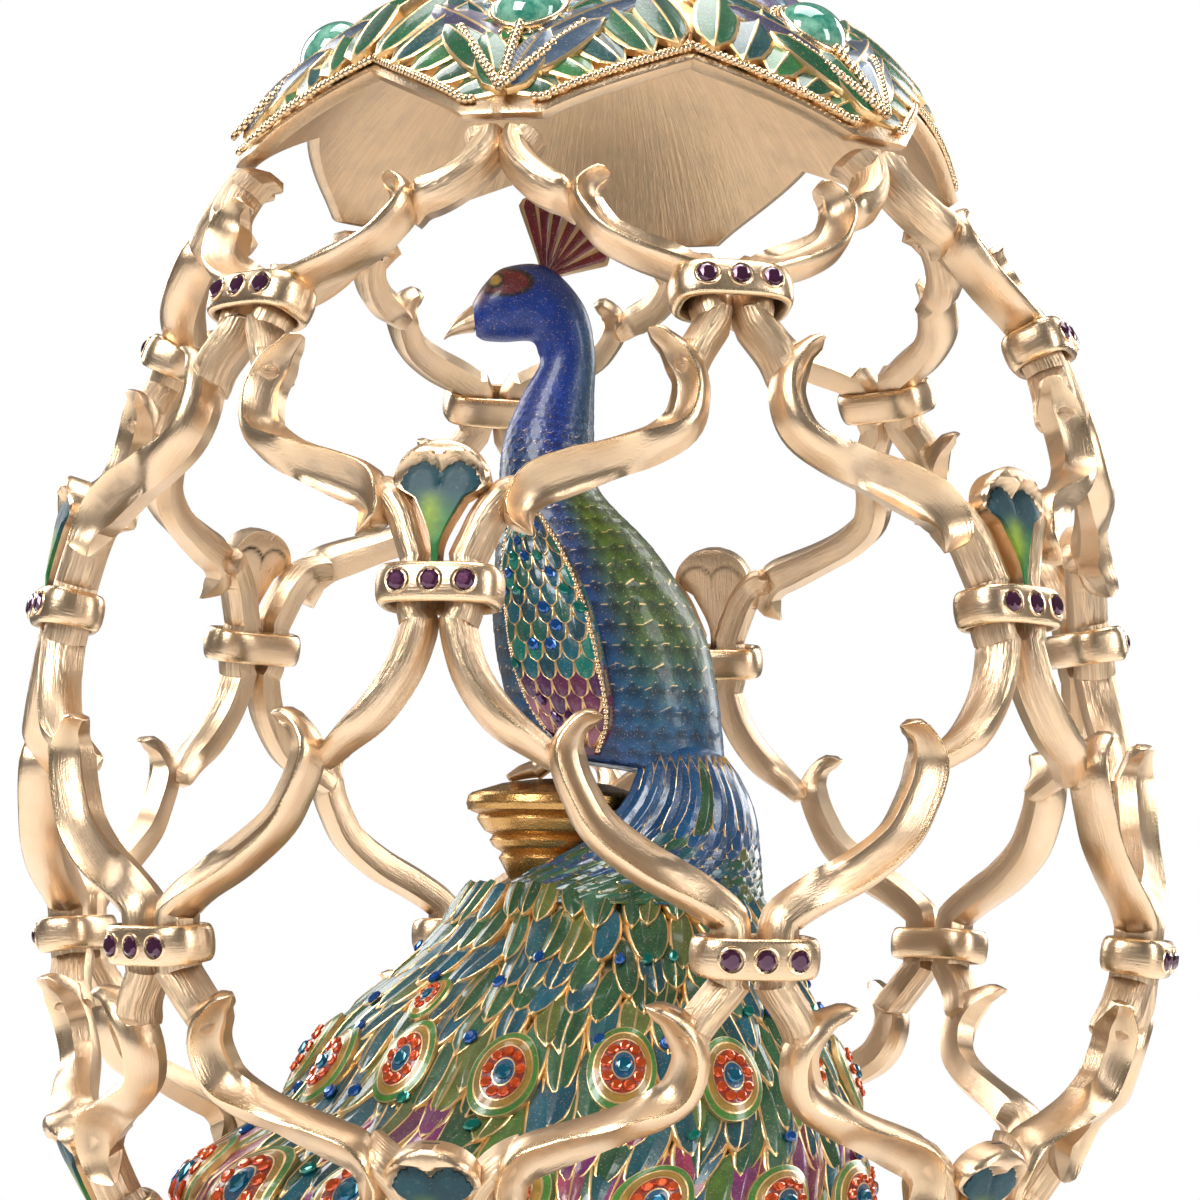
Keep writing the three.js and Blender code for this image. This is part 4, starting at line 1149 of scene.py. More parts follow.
@dataclass
class Palmettes:
    """Bands cast with a hooded palmette, its field of enamel heart-shaped."""

    bands: Bands
    top: float = 14.6 * MM
    half_width: float = 5.0 * MM
    back: float = 1.6 * MM
    field_out: float = 0.85 * MM
    teal: Colour = (0.001, 0.055, 0.075)
    lime: Colour = (0.30, 0.42, 0.02)
    green: Colour = (0.02, 0.20, 0.04)

    def outline(self, up: Array) -> Array:
        """Half width at a height over the band: a stem that opens into a round head."""
        share = np.clip(up / self.top, 0, 1)
        head = np.sqrt(np.clip(1 - ((share - 0.72) / 0.285) ** 2, 0, 1))
        stem = 0.075 + 0.62 * smooth(share, 0.22, 0.80)
        return self.half_width * np.clip(np.where(share > 0.72, head, np.maximum(
            stem, head * smooth(share, 0.46, 0.72))), 0.012, 1)

    def inside(self, across: Array, up: Array) -> Array:
        """How far inside the enamel's heart a place is, in metres: negative outside."""
        share = up / self.top
        size = self.half_width
        lobe_x, lobe_y = 0.40 * size, 0.69 * self.top
        lobes = 0.46 * size - np.hypot(np.abs(across) - lobe_x, up - lobe_y)
        taper = 0.86 * size * smooth(share, 0.08, 0.70) - np.abs(across) + 0.02 * size
        body = np.minimum(taper, lobe_y - up)
        return np.minimum(np.maximum(lobes, body), up - 0.10 * self.top)

    def grids(self) -> tuple[Array, Array, Array]:
        """Across, up and inside distances on the palmette's face."""
        share = np.linspace(0.02, 0.999, 40)[:, None]
        side = np.linspace(-1, 1, 27)[None, :]
        up = self.top * share + 0 * side
        across = self.outline(up) * side
        return across, up, self.inside(across, up)

    def plaque(self, level: float) -> tuple[Draft, Draft]:
        """The gilt body with its hood, and the enamel in its field."""
        across, up, inside = self.grids()
        share = up / self.top
        rim = smooth(-inside, -0.1 * MM, 0.95 * MM)
        limit = np.maximum(self.outline(up), 0.3 * MM)
        edge = np.sqrt(np.clip(1 - (np.abs(across) / limit) ** 4, 0, 1))
        hood = (0.5 + 1.2 * smooth(share, 0.6, 0.86)) * MM
        crest = np.sqrt(np.clip(1 - ((share - 0.72) / 0.29) ** 2, 0.02, 1)) * (share > 0.72) + (share <= 0.72)
        out = self.field_out - 0.5 * MM + rim * hood * edge * crest ** 0.6
        front = SKIN.flat(level, across, up, out)
        back = SKIN.flat(level, across * 0.96, up, -self.back * (0.6 + 0.4 * crest))
        # Painted highlight along the rim's crest round the heart; painted shade in the crease where the rim
        # meets the enamel.
        tint = triple(0.5 * rim * bump(inside, -0.4 * MM, 0.35 * MM), 0.9 * bump(inside, 0.0, 0.25 * MM), 0)
        gilt = Draft().plate(front, back, triple(across, out, up), tint)
        mix = smooth(share, 0.36, 0.64)
        glow = bump(across + 0.9 * MM, 0, 1.3 * MM) * smooth(share, 0.22, 0.42) * (1 - smooth(share, 0.5, 0.68))
        colour = (1 - mix)[..., None] * np.array(self.green) + mix[..., None] * np.array(self.teal)
        colour = colour + (np.array(self.lime) - colour) * (0.9 * glow)[..., None]
        sunk = self.field_out - 0.34 * MM + 0.28 * MM * smooth(inside, 0, 0.9 * MM)
        lower = np.where(inside > -0.12 * MM, sunk, self.field_out - 1.2 * MM)
        enamel = Draft().plate(SKIN.flat(level, across * 0.93, up, lower),
                               SKIN.flat(level, across * 0.9, up, 0 * lower - self.back * 0.4),
                               triple(0, 0, share), colour)
        return gilt, enamel

    def build(self, gilt: Material, enamel: Material) -> None:
        """Shows both rows of palmettes."""
        for row, label in ((2, "palmette_band"), (4, "lower_palmette_band")):
            body, field_draft = self.plaque(ROW_LEVELS[row])
            self.bands.ring(ROW_LEVELS[row], body)
            self.bands.seats(ROW_LEVELS[row], body)
            meshes = body.mesh(label), field_draft.mesh(f"{label}_enamel")
            for pair in range(PAIRS):
                azimuth = FIRST_AZIMUTH + HALF_STEP * (2 * pair - 1)
                name = f"{label}_{pair + 1}"
                Piece.show(f"hooded_{name}", Piece.turned(meshes[0], azimuth), gilt, "gilt", [name])
                Piece.show(f"{name}_enamel", Piece.turned(meshes[1], azimuth), enamel, "feathers")


# The peacock

@dataclass(frozen=True)
class Figure:
    """The peacock's own scale: hundredths of its height, from the middle of the floor."""

    height: float = 123.1 * MM
    floor: float = 45 * MM

    def at(self, x: Array, y: Array, z: Array) -> Array:
        """Places from hundredths."""
        return triple(x, y, z) * (self.height / 100) + np.array([0, 0, self.floor])


FIGURE = Figure()
BODY_STATIONS = (
    (-11.9, 89.6, -11.5, 86.5, 1.4), (-10.8, 91.4, -10.7, 86.1, 2.4), (-8.9, 93, -8.9, 86, 2.9),
    (-5, 93.1, -6.4, 86.1, 2.8), (-1.6, 89.7, -5.7, 85, 2.6), (-0.4, 85.4, -5.6, 83.8, 2.5),
    (-0.4, 80.6, -7.1, 81, 3.2), (-0.3, 75.9, -8.7, 76.8, 4.5), (0.3, 72.1, -9.1, 72.4, 5.7),
    (5.6, 66.5, -9.3, 64.7, 8.1), (10, 59.5, -9.3, 59, 8.9), (11.6, 52.9, -8, 52.9, 8.6),
    (12.4, 46.3, -5.5, 47.6, 7.3), (13.3, 42.6, 6.2, 45.9, 5.7), (14.6, 32.2, 6.8, 32.7, 4.9))
TRAIN_STATIONS = (
    (35.6, -10.5, 14.7, 9), (29.5, -14.2, 17.8, 13), (22, -22, 21.5, 18), (14.8, -27.2, 24.2, 22.3),
    (7, -36.4, 25.2, 27), (0, -31, 25.6, 28.5))
TRAIN_SWEEP = (-118.0, 122.0)
TRAIN_RUN = 46 * MM
TRAIN_REACH = 26 * MM
MANTLE_STATIONS = (
    (48.5, 3, 11.6, 6.2, -38), (46, 2.2, 13.2, 8.1, -38), (43, 0.6, 14.4, 9.2, -40), (39, -3, 15, 9.8, -52),
    (34, -9.5, 15.4, 10.4, -95))
MANTLE_END = 95.0


def scallops(along: Array, around: Array) -> tuple[Array, Array, Array]:
    """Overlapping scales.

    Row i ends along a run of half ellipses, set off by half a scale from row to row, and covers the start of
    the next. A place belongs to the first row whose end lies beyond it.

    Args:
        along: place along the rows, one unit a row.
        around: place across, one unit a scale.

    Returns:
        The distance back from the scale's end, the place across it from -1 to 1, and the row's number.
    """
    base = np.floor(along)
    back, across, row = np.full_like(along, -1.0), np.zeros_like(along), np.zeros_like(along)
    for step in (1, 0, -1):
        number = base + step
        local = (around + 0.5 * (number % 2)) % 1 * 2 - 1
        end = number + 0.62 * np.sqrt(np.maximum(0, 1 - local ** 2))
        ahead = end - along
        take = ahead >= 0
        back = np.where(take, ahead, back)
        across = np.where(take, local, across)
        row = np.where(take, number, row)
    return np.maximum(back, 0), across, row


@dataclass
class Peacock:
    """The bird: body and head, crest, wings, train, legs, and the crystals set in them."""

    rings: int = 320
    columns: int = 110
    scales_round: int = 30
    cobalt: Colour = (0.001, 0.036, 0.27)
    teal: Colour = (0.003, 0.12, 0.17)
    gold_green: Colour = (0.085, 0.16, 0.012)
    leaf_green: Colour = (0.015, 0.10, 0.035)
    maroon: Colour = (0.17, 0.006, 0.022)
    lash: Colour = (0.006, 0.004, 0.012)
    low_blue: Colour = (0.006, 0.09, 0.24)
    plum: Colour = (0.17, 0.022, 0.085)
    coral: Colour = (0.75, 0.10, 0.02)
    azure: Colour = (0.002, 0.10, 0.42)
    sea: Colour = (0.002, 0.15, 0.26)
    emerald: Colour = (0.0, 0.22, 0.17)

    def body(self) -> Mesh:
        """Body, neck and head: rings through each station's back and breast points, scaled all over."""
        stations = spline(BODY_STATIONS, self.rings)
        back = FIGURE.at(stations[:, 0], 0, stations[:, 1])
        breast = FIGURE.at(stations[:, 2], 0, stations[:, 3])
        broad = stations[:, 4] * FIGURE.height / 100
        angle = circle(self.columns)
        middle, half = (back + breast) / 2, (back - breast) / 2
        rings = middle[:, None] + half[:, None] * np.cos(angle)[None, :, None]
        rings[..., 1] += broad[:, None] * np.sin(angle)
        out = unit(np.cross(np.roll(rings, -1, 1) - np.roll(rings, 1, 1), np.gradient(rings, axis=0)))
        out *= np.sign(np.einsum("ijk,ijk->ij", out, rings - middle[:, None]).mean())
        size = (np.linalg.norm(half, axis=1) + broad) / 2
        step = np.linalg.norm(np.gradient(middle, axis=0), axis=1)
        rows = np.cumsum(step / (size * 2 * math.pi / self.scales_round))[:, None] + 0 * angle
        ahead, across, number = scallops(rows, self.scales_round * angle[None, :] / (2 * math.pi) + 0 * rows)
        height = (rings[..., 2] - FIGURE.floor) / FIGURE.height * 100
        reach = rings[..., 0] / FIGURE.height * 100
        scaled = smooth(height, 84, 76)
        rings += out * (0.09 * MM * np.maximum(0, 1 - ahead / 0.9) * scaled)[..., None]
        upper = np.cos(angle)[None, :] + 0 * rows
        colour = self.plumage(height, reach, upper, number, across)
        glint = 0.5 + 0.5 * np.sin(number * 7.3 + np.floor(angle * 4.8) * 2.1)
        bare = np.clip(0.46 + (0.1 - ahead) * 4 + 0.12 * glint, 0, 0.58) * scaled * smooth(height, 42, 54)
        shade = smooth(ahead, 0.2, 1.0) * scaled * 0.9
        return Draft().tube(rings, triple(bare, shade, ahead), colour).mesh("peacock_body", 180)

    def plumage(self, height: Array, reach: Array, upper: Array, number: Array, across: Array) -> Array:
        """The body's colours by place: cobalt head and neck, gold-green back, teal breast and lower back.

        Each colour in the list is mixed in by its share, over the ones before it.
        """
        wobble = 0.5 + 0.5 * np.sin(number * 12.9898 + np.round(across) * 3.1)
        nape = smooth(upper, -0.1, 0.45)
        patch = np.hypot((reach + 8.9) / 2.4, (height - 91.3) / 1.25)
        pupil = np.hypot(reach + 9.8, height - 91.5)
        colour = triple(*self.cobalt) + 0 * height[..., None]
        for share, new in (
                (smooth(upper, 0.1, 0.9) * smooth(height, 95, 84) * 0.55, self.leaf_green),
                (smooth(upper, 0.3, -0.6) * smooth(height, 80, 70), (0.006, 0.07, 0.13)),
                (nape * smooth(height, 77, 70), self.gold_green),
                (nape * smooth(height, 70, 62) * 0.45 * wobble, self.leaf_green),
                (smooth(height, 60, 50) * smooth(upper, -0.6, 0.3) * 0.8, (0.006, 0.13, 0.22)),
                (smooth(height, 58, 46) * (0.25 + 0.4 * wobble), (0.008, 0.07, 0.32)),
                (smooth(patch, 1.25, 1.1), self.lash), (smooth(patch, 1.0, 0.85), self.maroon),
                (smooth(pupil, 1.0, 0.85), self.lash), (smooth(pupil, 0.6, 0.45), (0.55, 0.34, 0.08)),
                (bump(np.hypot(reach + 11.5, height - 90.0), 0, 0.7), (0.4, 0.18, 0.16))):
            colour = colour + (np.array(new) - colour) * np.clip(share, 0, 1)[..., None]
        return colour

    def beak(self) -> Mesh:
        """The beak: rings that taper along a slightly hooked line."""
        line = spline([(-11.3, 88.5), (-12.6, 87.9), (-13.8, 87.1), (-14.5, 86.2)], 26)
        share = np.linspace(0, 1, 26)
        tall = 1.55 * (1 - share) ** 0.75 + 0.12
        wide = 1.25 * (1 - share) ** 0.9 + 0.1
        angle = circle(20)
        groove = 1 - 0.16 * bump(np.abs(np.abs(angle - math.pi) - math.pi / 2), 0, 0.2)
        rings = FIGURE.at(line[:, :1] + 0.25 * tall[:, None] * np.cos(angle),
                          wide[:, None] * np.sin(angle) * groove,
                          line[:, 1:] + tall[:, None] * np.cos(angle))
        return Draft().tube(rings, None, even((0.2, 0.25, 0.0), rings)).mesh("beak")

    def crest(self, enamel: Draft, gilt: Draft) -> None:
        """The crest: a fan of feathers, each a gilt plate that widens to its tip with a maroon field."""
        tips = ((-8.6, 167.6), (-6.7, 168.3), (-4.6, 168.3), (-2.1, 167.5), (-0.3, 165.9), (0.7, 163.9),
                (0.8, 161.2))
        root = np.array([-6.3, 158.4])
        share = np.linspace(0, 1, 16)[:, None]
        side = np.linspace(-1, 1, 9)[None, :]
        half = (0.34 + 0.95 * share ** 1.2) * MM * np.where(share > 0.9, np.sqrt(
            np.clip(1 - ((share - 0.9) / 0.11) ** 2, 0.05, 1)), 1)
        for tip in np.array(tips):
            run = (tip - root) * MM
            beside = np.array([run[1], -run[0]]) / np.linalg.norm(run)
            for draft, depth, wide, long, colour in (
                    (gilt, 0.42, 1.0, 1.0, (0.6, 0.2, 0.0)), (enamel, 0.62, 0.55, 0.97, self.maroon)):
                x, z = (root[k] * MM + run[k] * share * long + beside[k] * side * half * wide for k in (0, 1))
                y = depth * MM * (1 - 0.35 * side ** 2) * (0.7 + 0.3 * share)
                front = triple(x, y, z)
                draft.plate(front, triple(x, -y, z), None, even(colour, front))

    def on_train(self, across: Array, along: Array, out: Array) -> Array:
        """Places on the train from its sweep in degrees, its share from top to hem, and a distance outward."""
        stations = spline(TRAIN_STATIONS, 60)
        grid = np.linspace(0, 1, 60)

        def surface(sweep: Array, share: Array) -> Array:
            """The train's own surface: an ellipse at each height, with soft pleats that deepen to the hem."""
            z, left, right, front = (np.interp(share, grid, stations[:, k]) for k in range(4))
            pleat = 1 + 0.018 * share * np.sin(np.radians(sweep) * 11)
            turn = np.radians(sweep)
            over = np.maximum(share - 1, 0) * 30
            return FIGURE.at((left + right) / 2 + (right - left) / 2 * pleat * np.sin(turn),
                             -front * pleat * np.cos(turn), np.maximum(z - over, 0.5))

        here = surface(across, along)
        beside = surface(across + 0.5, along) - surface(across - 0.5, along)
        down = surface(across, np.minimum(along + 0.01, 1.0)) - surface(across, np.minimum(along, 0.99) - 0.01)
        normal = unit(np.cross(down, beside))
        outward = here - FIGURE.at(0, 0, 0 * along)
        outward[..., 2] = 0
        normal *= np.sign(np.einsum("...i,...i->...", normal, outward))[..., None]
        return here + normal * out[..., None]

    def train_sheet(self) -> Mesh:
        """The sheet that the train's feathers lie on."""
        share, sweep = np.meshgrid(np.linspace(0, 1, 60), np.linspace(*TRAIN_SWEEP, 120), indexing="ij")
        front = self.on_train(sweep, share, 0 * share)
        back = self.on_train(sweep, share, 0 * share - 2.6 * MM)
        bare = 0.44 + 0.1 * np.sin(share * 90 + sweep) * np.sin(sweep * 1.7)
        return Draft().plate(front, back, triple(bare, 0, share), even((0.012, 0.06, 0.04), front)).mesh(
            "train_sheet")

    def train_feathers(self, leaves: Draft, crystals: Draft) -> None:
        """Rows of overlapping leaves down the train, growing towards its hem."""
        pick = np.random.default_rng(23)
        rows = 15
        for row in range(rows):
            share = 0.93 * (row / (rows - 1)) ** 0.93 - 0.03
            station = spline(TRAIN_STATIONS, 60)[int(np.clip(share, 0, 1) * 59)]
            radius = math.hypot((station[2] - station[1]) / 2, station[3]) / math.sqrt(2) * FIGURE.height / 100
            length = (6.2 + 7.0 * share) * MM
            half = (1.15 + 1.45 * share) * MM
            run = math.radians(TRAIN_SWEEP[1] - TRAIN_SWEEP[0]) * radius
            count = max(8, int(run / (half * 1.75)))
            for place in range(count):
                sweep = TRAIN_SWEEP[0] + math.degrees(run / radius) * (place + 0.5 * (row % 2) + 0.25) / count
                lean = float(pick.normal(0, 0.12))
                leaf = Leaf(length * float(pick.uniform(0.88, 1.15)), half * float(pick.uniform(0.85, 1.15)),
                            0.75 * MM, 0.9 * MM, 1.1, 0.2, 0.06 if pick.random() < 0.5 else 0.0)

                def place_on(across: Array, along: Array, out: Array,
                             a: float = sweep, b: float = share, w: float = radius, k: float = lean) -> Array:
                    """Turns distances into sweep and share."""
                    return self.on_train(a + np.degrees((across + along * k) / w), b + along / TRAIN_RUN, out)

                lay_leaf(leaves, leaf, place_on, self.train_colour(share, pick), lift=0.15 * MM,
                         shade=float(pick.uniform(0, 0.5)))
                if pick.random() < 0.16 and 0.08 < share < 0.8:
                    colour = (self.azure, self.azure, self.emerald)[int(pick.integers(0, 3))]
                    self.set_stone(crystals, sweep, share + 0.4 * leaf.length / TRAIN_RUN, 0.72 * MM, colour,
                                   1.5 * MM)

    def on_mantle(self, sweep: Array, share: Array, out: Array) -> Array:
        """Places on the feathers between body and train: how far round, 0 to 1, how far down, and outward."""
        stations = spline(MANTLE_STATIONS, 40)
        z, left, right, front, start = (
            np.interp(share, np.linspace(0, 1, 40), stations[:, k]) for k in range(5))
        turn = np.radians(start + (MANTLE_END - start) * sweep)
        outward = out / FIGURE.height * 100
        return FIGURE.at((left + right) / 2 + ((right - left) / 2 + outward) * np.sin(turn),
                         -(front + outward) * np.cos(turn), z)

    def mantle(self, leaves: Draft) -> None:
        """The feathers that fall from the body over the pedestal's side and join it to the train."""
        pick = np.random.default_rng(41)
        share, sweep = np.meshgrid(np.linspace(0, 1, 30), np.linspace(0, 1, 48), indexing="ij")
        front, back = (self.on_mantle(sweep, share, 0 * share - depth) for depth in (0, 0.9 * MM))
        leaves.plate(front, back, triple(0.2, 0, share), even(self.low_blue, front))
        rows, run, drop = 9, 20 * MM, 23 * MM
        for row in range(rows):
            start = 0.02 + 0.84 * row / (rows - 1)
            count = 13 + row
            for place in range(count):
                leaf = Leaf(5.2 * MM * float(pick.uniform(0.88, 1.15)), 1.1 * MM, 0.6 * MM, 0.5 * MM, 1.0, 0.18)
                middle = (place + 0.25 + 0.5 * (row % 2)) / count
                lay_leaf(leaves, leaf, lambda x, y, out, m=middle, s=start: self.on_mantle(
                    np.clip(m + x / run, 0, 1), np.clip(s + y / drop, 0, 1.06), out),
                    self.low_blue if pick.random() > 0.3 + start else self.train_colour(0.2, pick),
                    lift=0.1 * MM, shade=float(pick.uniform(0, 0.5)))

    def train_colour(self, share: float, pick: np.random.Generator) -> Colour:
        """One leaf's colour, by how far down the train it is."""
        upper = (self.leaf_green, (0.04, 0.16, 0.08), self.teal, (0.012, 0.11, 0.13), (0.16, 0.20, 0.04),
                 (0.03, 0.13, 0.05))
        lower = (self.leaf_green, self.plum, (0.26, 0.03, 0.16), self.teal, (0.10, 0.22, 0.03),
                 (0.34, 0.04, 0.10))
        options = lower if pick.random() < smooth(np.array(share), 0.3, 0.75) else upper
        return options[int(pick.integers(0, len(options)))]

    def set_stone(self, draft: Draft, sweep: float, share: float, radius: float, colour: Colour,
                  out: float) -> None:
        """Adds one crystal on the train."""
        cut_stone(draft, radius, colour, lambda x, y, z: self.on_train(
            sweep + np.degrees(x / TRAIN_REACH), share - y / TRAIN_RUN, out + z))

    def eyes(self, leaves: Draft, crystals: Draft) -> None:
        """The train's eyes: a ringed disc with a wreath of crystals on a broad feather."""
        for order in range(9):
            self.eye(leaves, crystals, -87 + 24 * order, 0.47 + 0.02 * (order % 2), 3.2 * MM)
        for order in range(8):
            self.eye(leaves, crystals, -75 + 24 * order, 0.80, 3.4 * MM)
        self.eye(leaves, crystals, -44, 0.32, 1.9 * MM)

    def eye(self, leaves: Draft, crystals: Draft, sweep: float, share: float, radius: float) -> None:
        """One eye: rings of blue, coral, ochre and green between gilt lines."""
        stretch, wreath = 1.35, 0.47 * radius
        turn = circle(36)[None, :]
        reach = np.append(np.linspace(0.04, 1, 22), 1.0)[:, None]
        raised = 1.7 * MM + 0.8 * MM * (1 - reach ** 2) + 0 * turn
        raised[-1] = 0.1 * MM
        rings = self.on_train(sweep + np.degrees(np.sin(turn) * reach * radius / TRAIN_REACH),
                              share - np.cos(turn) * reach * radius * stretch / TRAIN_RUN, raised)
        lines = np.max(np.stack([bump(reach, place, 0.028) for place in (0.30, 0.62, 0.82, 0.98)]), axis=0)
        colour = np.zeros(rings.shape)
        for low, high, shade in ((0, 0.32, (0.004, 0.09, 0.2)), (0.32, 0.64, (0.30, 0.03, 0.015)),
                                 (0.64, 0.84, (0.40, 0.22, 0.03)), (0.84, 1.1, (0.06, 0.22, 0.03))):
            colour[((reach >= low) & (reach < high))[:, 0]] = shade
        leaves.tube(rings, triple(np.clip(lines * 0.9, 0, 1) + 0 * turn, 0, 0), colour)
        for angle in circle(9):
            self.set_stone(crystals, sweep + math.degrees(math.sin(angle) * wreath / TRAIN_REACH),
                           share - math.cos(angle) * wreath * stretch / TRAIN_RUN, radius * 0.17, self.coral,
                           2.4 * MM)
        self.set_stone(crystals, sweep, share, radius * 0.24, self.sea, 2.6 * MM)

    def wing(self, leaves: Draft, crystals: Draft, knots: Draft) -> None:
        """The folded wing: rows of small teal feathers over an oval of plum ones, laid on the flank."""
        stations = spline([(-3.6, 70, 6, 1), (-1.9, 65.6, 7.9, 3.2), (-0.2, 60.5, 8.9, 4.3),
                           (1.1, 55, 9.1, 4.5), (2.3, 50.5, 8.5, 3.6), (3.2, 47, 7.8, 1)], 60)
        grid = np.linspace(0, 1, 60)
        pick = np.random.default_rng(5)

        def on_wing(azimuth: float) -> Callable:
            """A function of side, share and outward distance on one wing."""
            sin, cos = math.sin(math.radians(azimuth)), -math.cos(math.radians(azimuth))

            def place(side: Array, share: Array, out: Array) -> Array:
                """Side from -1 to 1, share from the shoulder down."""
                x, z, reach, half = (np.interp(share, grid, stations[:, k]) for k in range(4))
                away = reach + 1.25 * np.sqrt(np.maximum(0, 1 - side ** 2)) - 0.6 + out / FIGURE.height * 100
                return FIGURE.at(x + away * sin - side * half * cos, away * cos + side * half * sin, z)

            return place

        for azimuth in (-28.0, 152.0):
            lay = on_wing(azimuth)
            share, side = np.meshgrid(np.linspace(0.02, 0.98, 60), np.linspace(-1, 1, 25), indexing="ij")
            front = lay(side, share, 0 * share)
            back = lay(side, share, 0 * share - 1.6 * MM * np.sqrt(np.maximum(0.1, 1 - side ** 2)))
            plum = smooth(share, 0.6, 0.66)[..., None]
            colour = (1 - plum) * np.array(self.teal) + plum * np.array(self.plum)
            leaves.plate(front, back, triple(0.2, 0, share), colour)
            for row in range(13):
                start = 0.03 + 0.066 * row
                lower = start > 0.58
                colours = (self.plum, (0.30, 0.07, 0.13), (0.10, 0.02, 0.10)) if lower else (
                    self.teal, (0.005, 0.07, 0.10), self.emerald, (0.01, 0.12, 0.09))
                for place in range(5):
                    middle = -0.8 + 0.4 * place + 0.2 * (row % 2) - 0.1
                    leaf = Leaf(0.125, 0.24, 0.5 * MM, 0.5 * MM, 0.8, 0.24, 0.0)
                    colour = colours[int(pick.integers(0, len(colours)))]
                    lay_leaf(leaves, leaf, lambda x, y, out, m=middle, s=start: lay(
                        np.clip(m + x, -1, 1), np.clip(s + y, 0, 1), out), colour, thickness=0.3 * MM,
                        lift=0.1 * MM)
                    if pick.random() < 0.36:
                        stone = (0.06, 0.008, 0.10) if lower else (self.azure, self.azure, self.emerald)[
                            int(pick.integers(0, 3))]
                        cut_stone(crystals, 0.68 * MM, stone, lambda x, y, z, m=middle, s=start: lay(
                            np.clip(m + x / (5.2 * MM), -1, 1), np.clip(s + 0.06 - y / (29 * MM), 0, 1),
                            0.8 * MM + z))
            border = np.linspace(0, 1, 46)
            for hand in (-1, 1):
                path = lay(hand * np.full(46, 0.93), 0.03 + 0.93 * border, 0.35 * MM + 0 * border)
                heading = math.radians(azimuth)
                beads(knots, path, even((math.sin(heading), -math.cos(heading), 0.0), path), 0.42 * MM)

    def legs(self, draft: Draft) -> None:
        """Two legs that stand on the pedestal, each with three toes."""
        for hand in (-1, 1):
            y = hand * 4.0
            self.limb(draft, [(1.0, y * 0.9, 51), (-1.6, y, 48.6), (-4.6, y, 46.6), (-5.4, y, 46.0)],
                      (1.7, 1.15, 0.85, 0.9))
            for spread in (-0.55, 0.0, 0.55):
                self.limb(draft, [(-5.0, y, 46.3), (-6.4, y + spread * 1.4, 45.9),
                                  (-7.6, y + spread * 2.8, 45.3)], (0.75, 0.55, 0.25))

    def limb(self, draft: Draft, path: Sequence[Sequence[float]], radii: Sequence[float]) -> None:
        """A round limb through places, with its radius at each, in hundredths."""
        line = spline(path, 22)
        radius = np.interp(np.linspace(0, 1, 22), np.linspace(0, 1, len(radii)), radii)
        forward = unit(np.gradient(line, axis=0))
        side = unit(np.cross(forward, np.array([0.0, 0.0, 1.0]) + 0.01))
        other = np.cross(forward, side)
        turn = circle(14)
        rings = line[:, None] + radius[:, None, None] * (
            np.cos(turn)[None, :, None] * side[:, None] + np.sin(turn)[None, :, None] * other[:, None])
        draft.tube(FIGURE.at(rings[..., 0], rings[..., 1], rings[..., 2]), None, even((0.2, 0.3, 0.3), rings))

    def build(self, gilt: Material, enamel: Material, crystal: Material) -> None:
        """Shows the whole bird."""
        satin = Enamel("satin_enamel", flecks=0.35, depth=0.0002, coat=0.26, roughness=0.34).material()
        Piece.show("peacock_body", self.body(), satin, "plumage", ["peacock"])
        Piece.show("peacock_beak", self.beak(), gilt, "amber")
        Piece.show("train_sheet", self.train_sheet(), enamel, "plumage")
        train, mantle, eyes, wings, crest_field, crystals, gilding, limbs = (Draft() for _ in range(8))
        self.crest(crest_field, gilding)
        self.train_feathers(train, crystals)
        self.mantle(mantle)
        self.eyes(eyes, crystals)
        self.wing(wings, crystals, gilding)
        self.legs(limbs)
        for name, draft, crease, finish, slot in (
                ("train_feathers", train, 60, enamel, "plumage"),
                ("mantle_feathers", mantle, 60, enamel, "plumage"),
                ("train_eyes", eyes, 60, enamel, "plumage"),
                ("wing_feathers", wings, 60, enamel, "plumage"),
                ("crest_fields", crest_field, 38, enamel, "plumage"),
                ("peacock_gilding", gilding, 60, gilt, "gilt"),
                ("peacock_crystals", crystals, 5, crystal, "jade"),
                ("peacock_legs", limbs, 38, gilt, "amber")):
            Piece.show(name, draft.mesh(name, crease), finish, slot)


# Pedestal, floor, collar and base

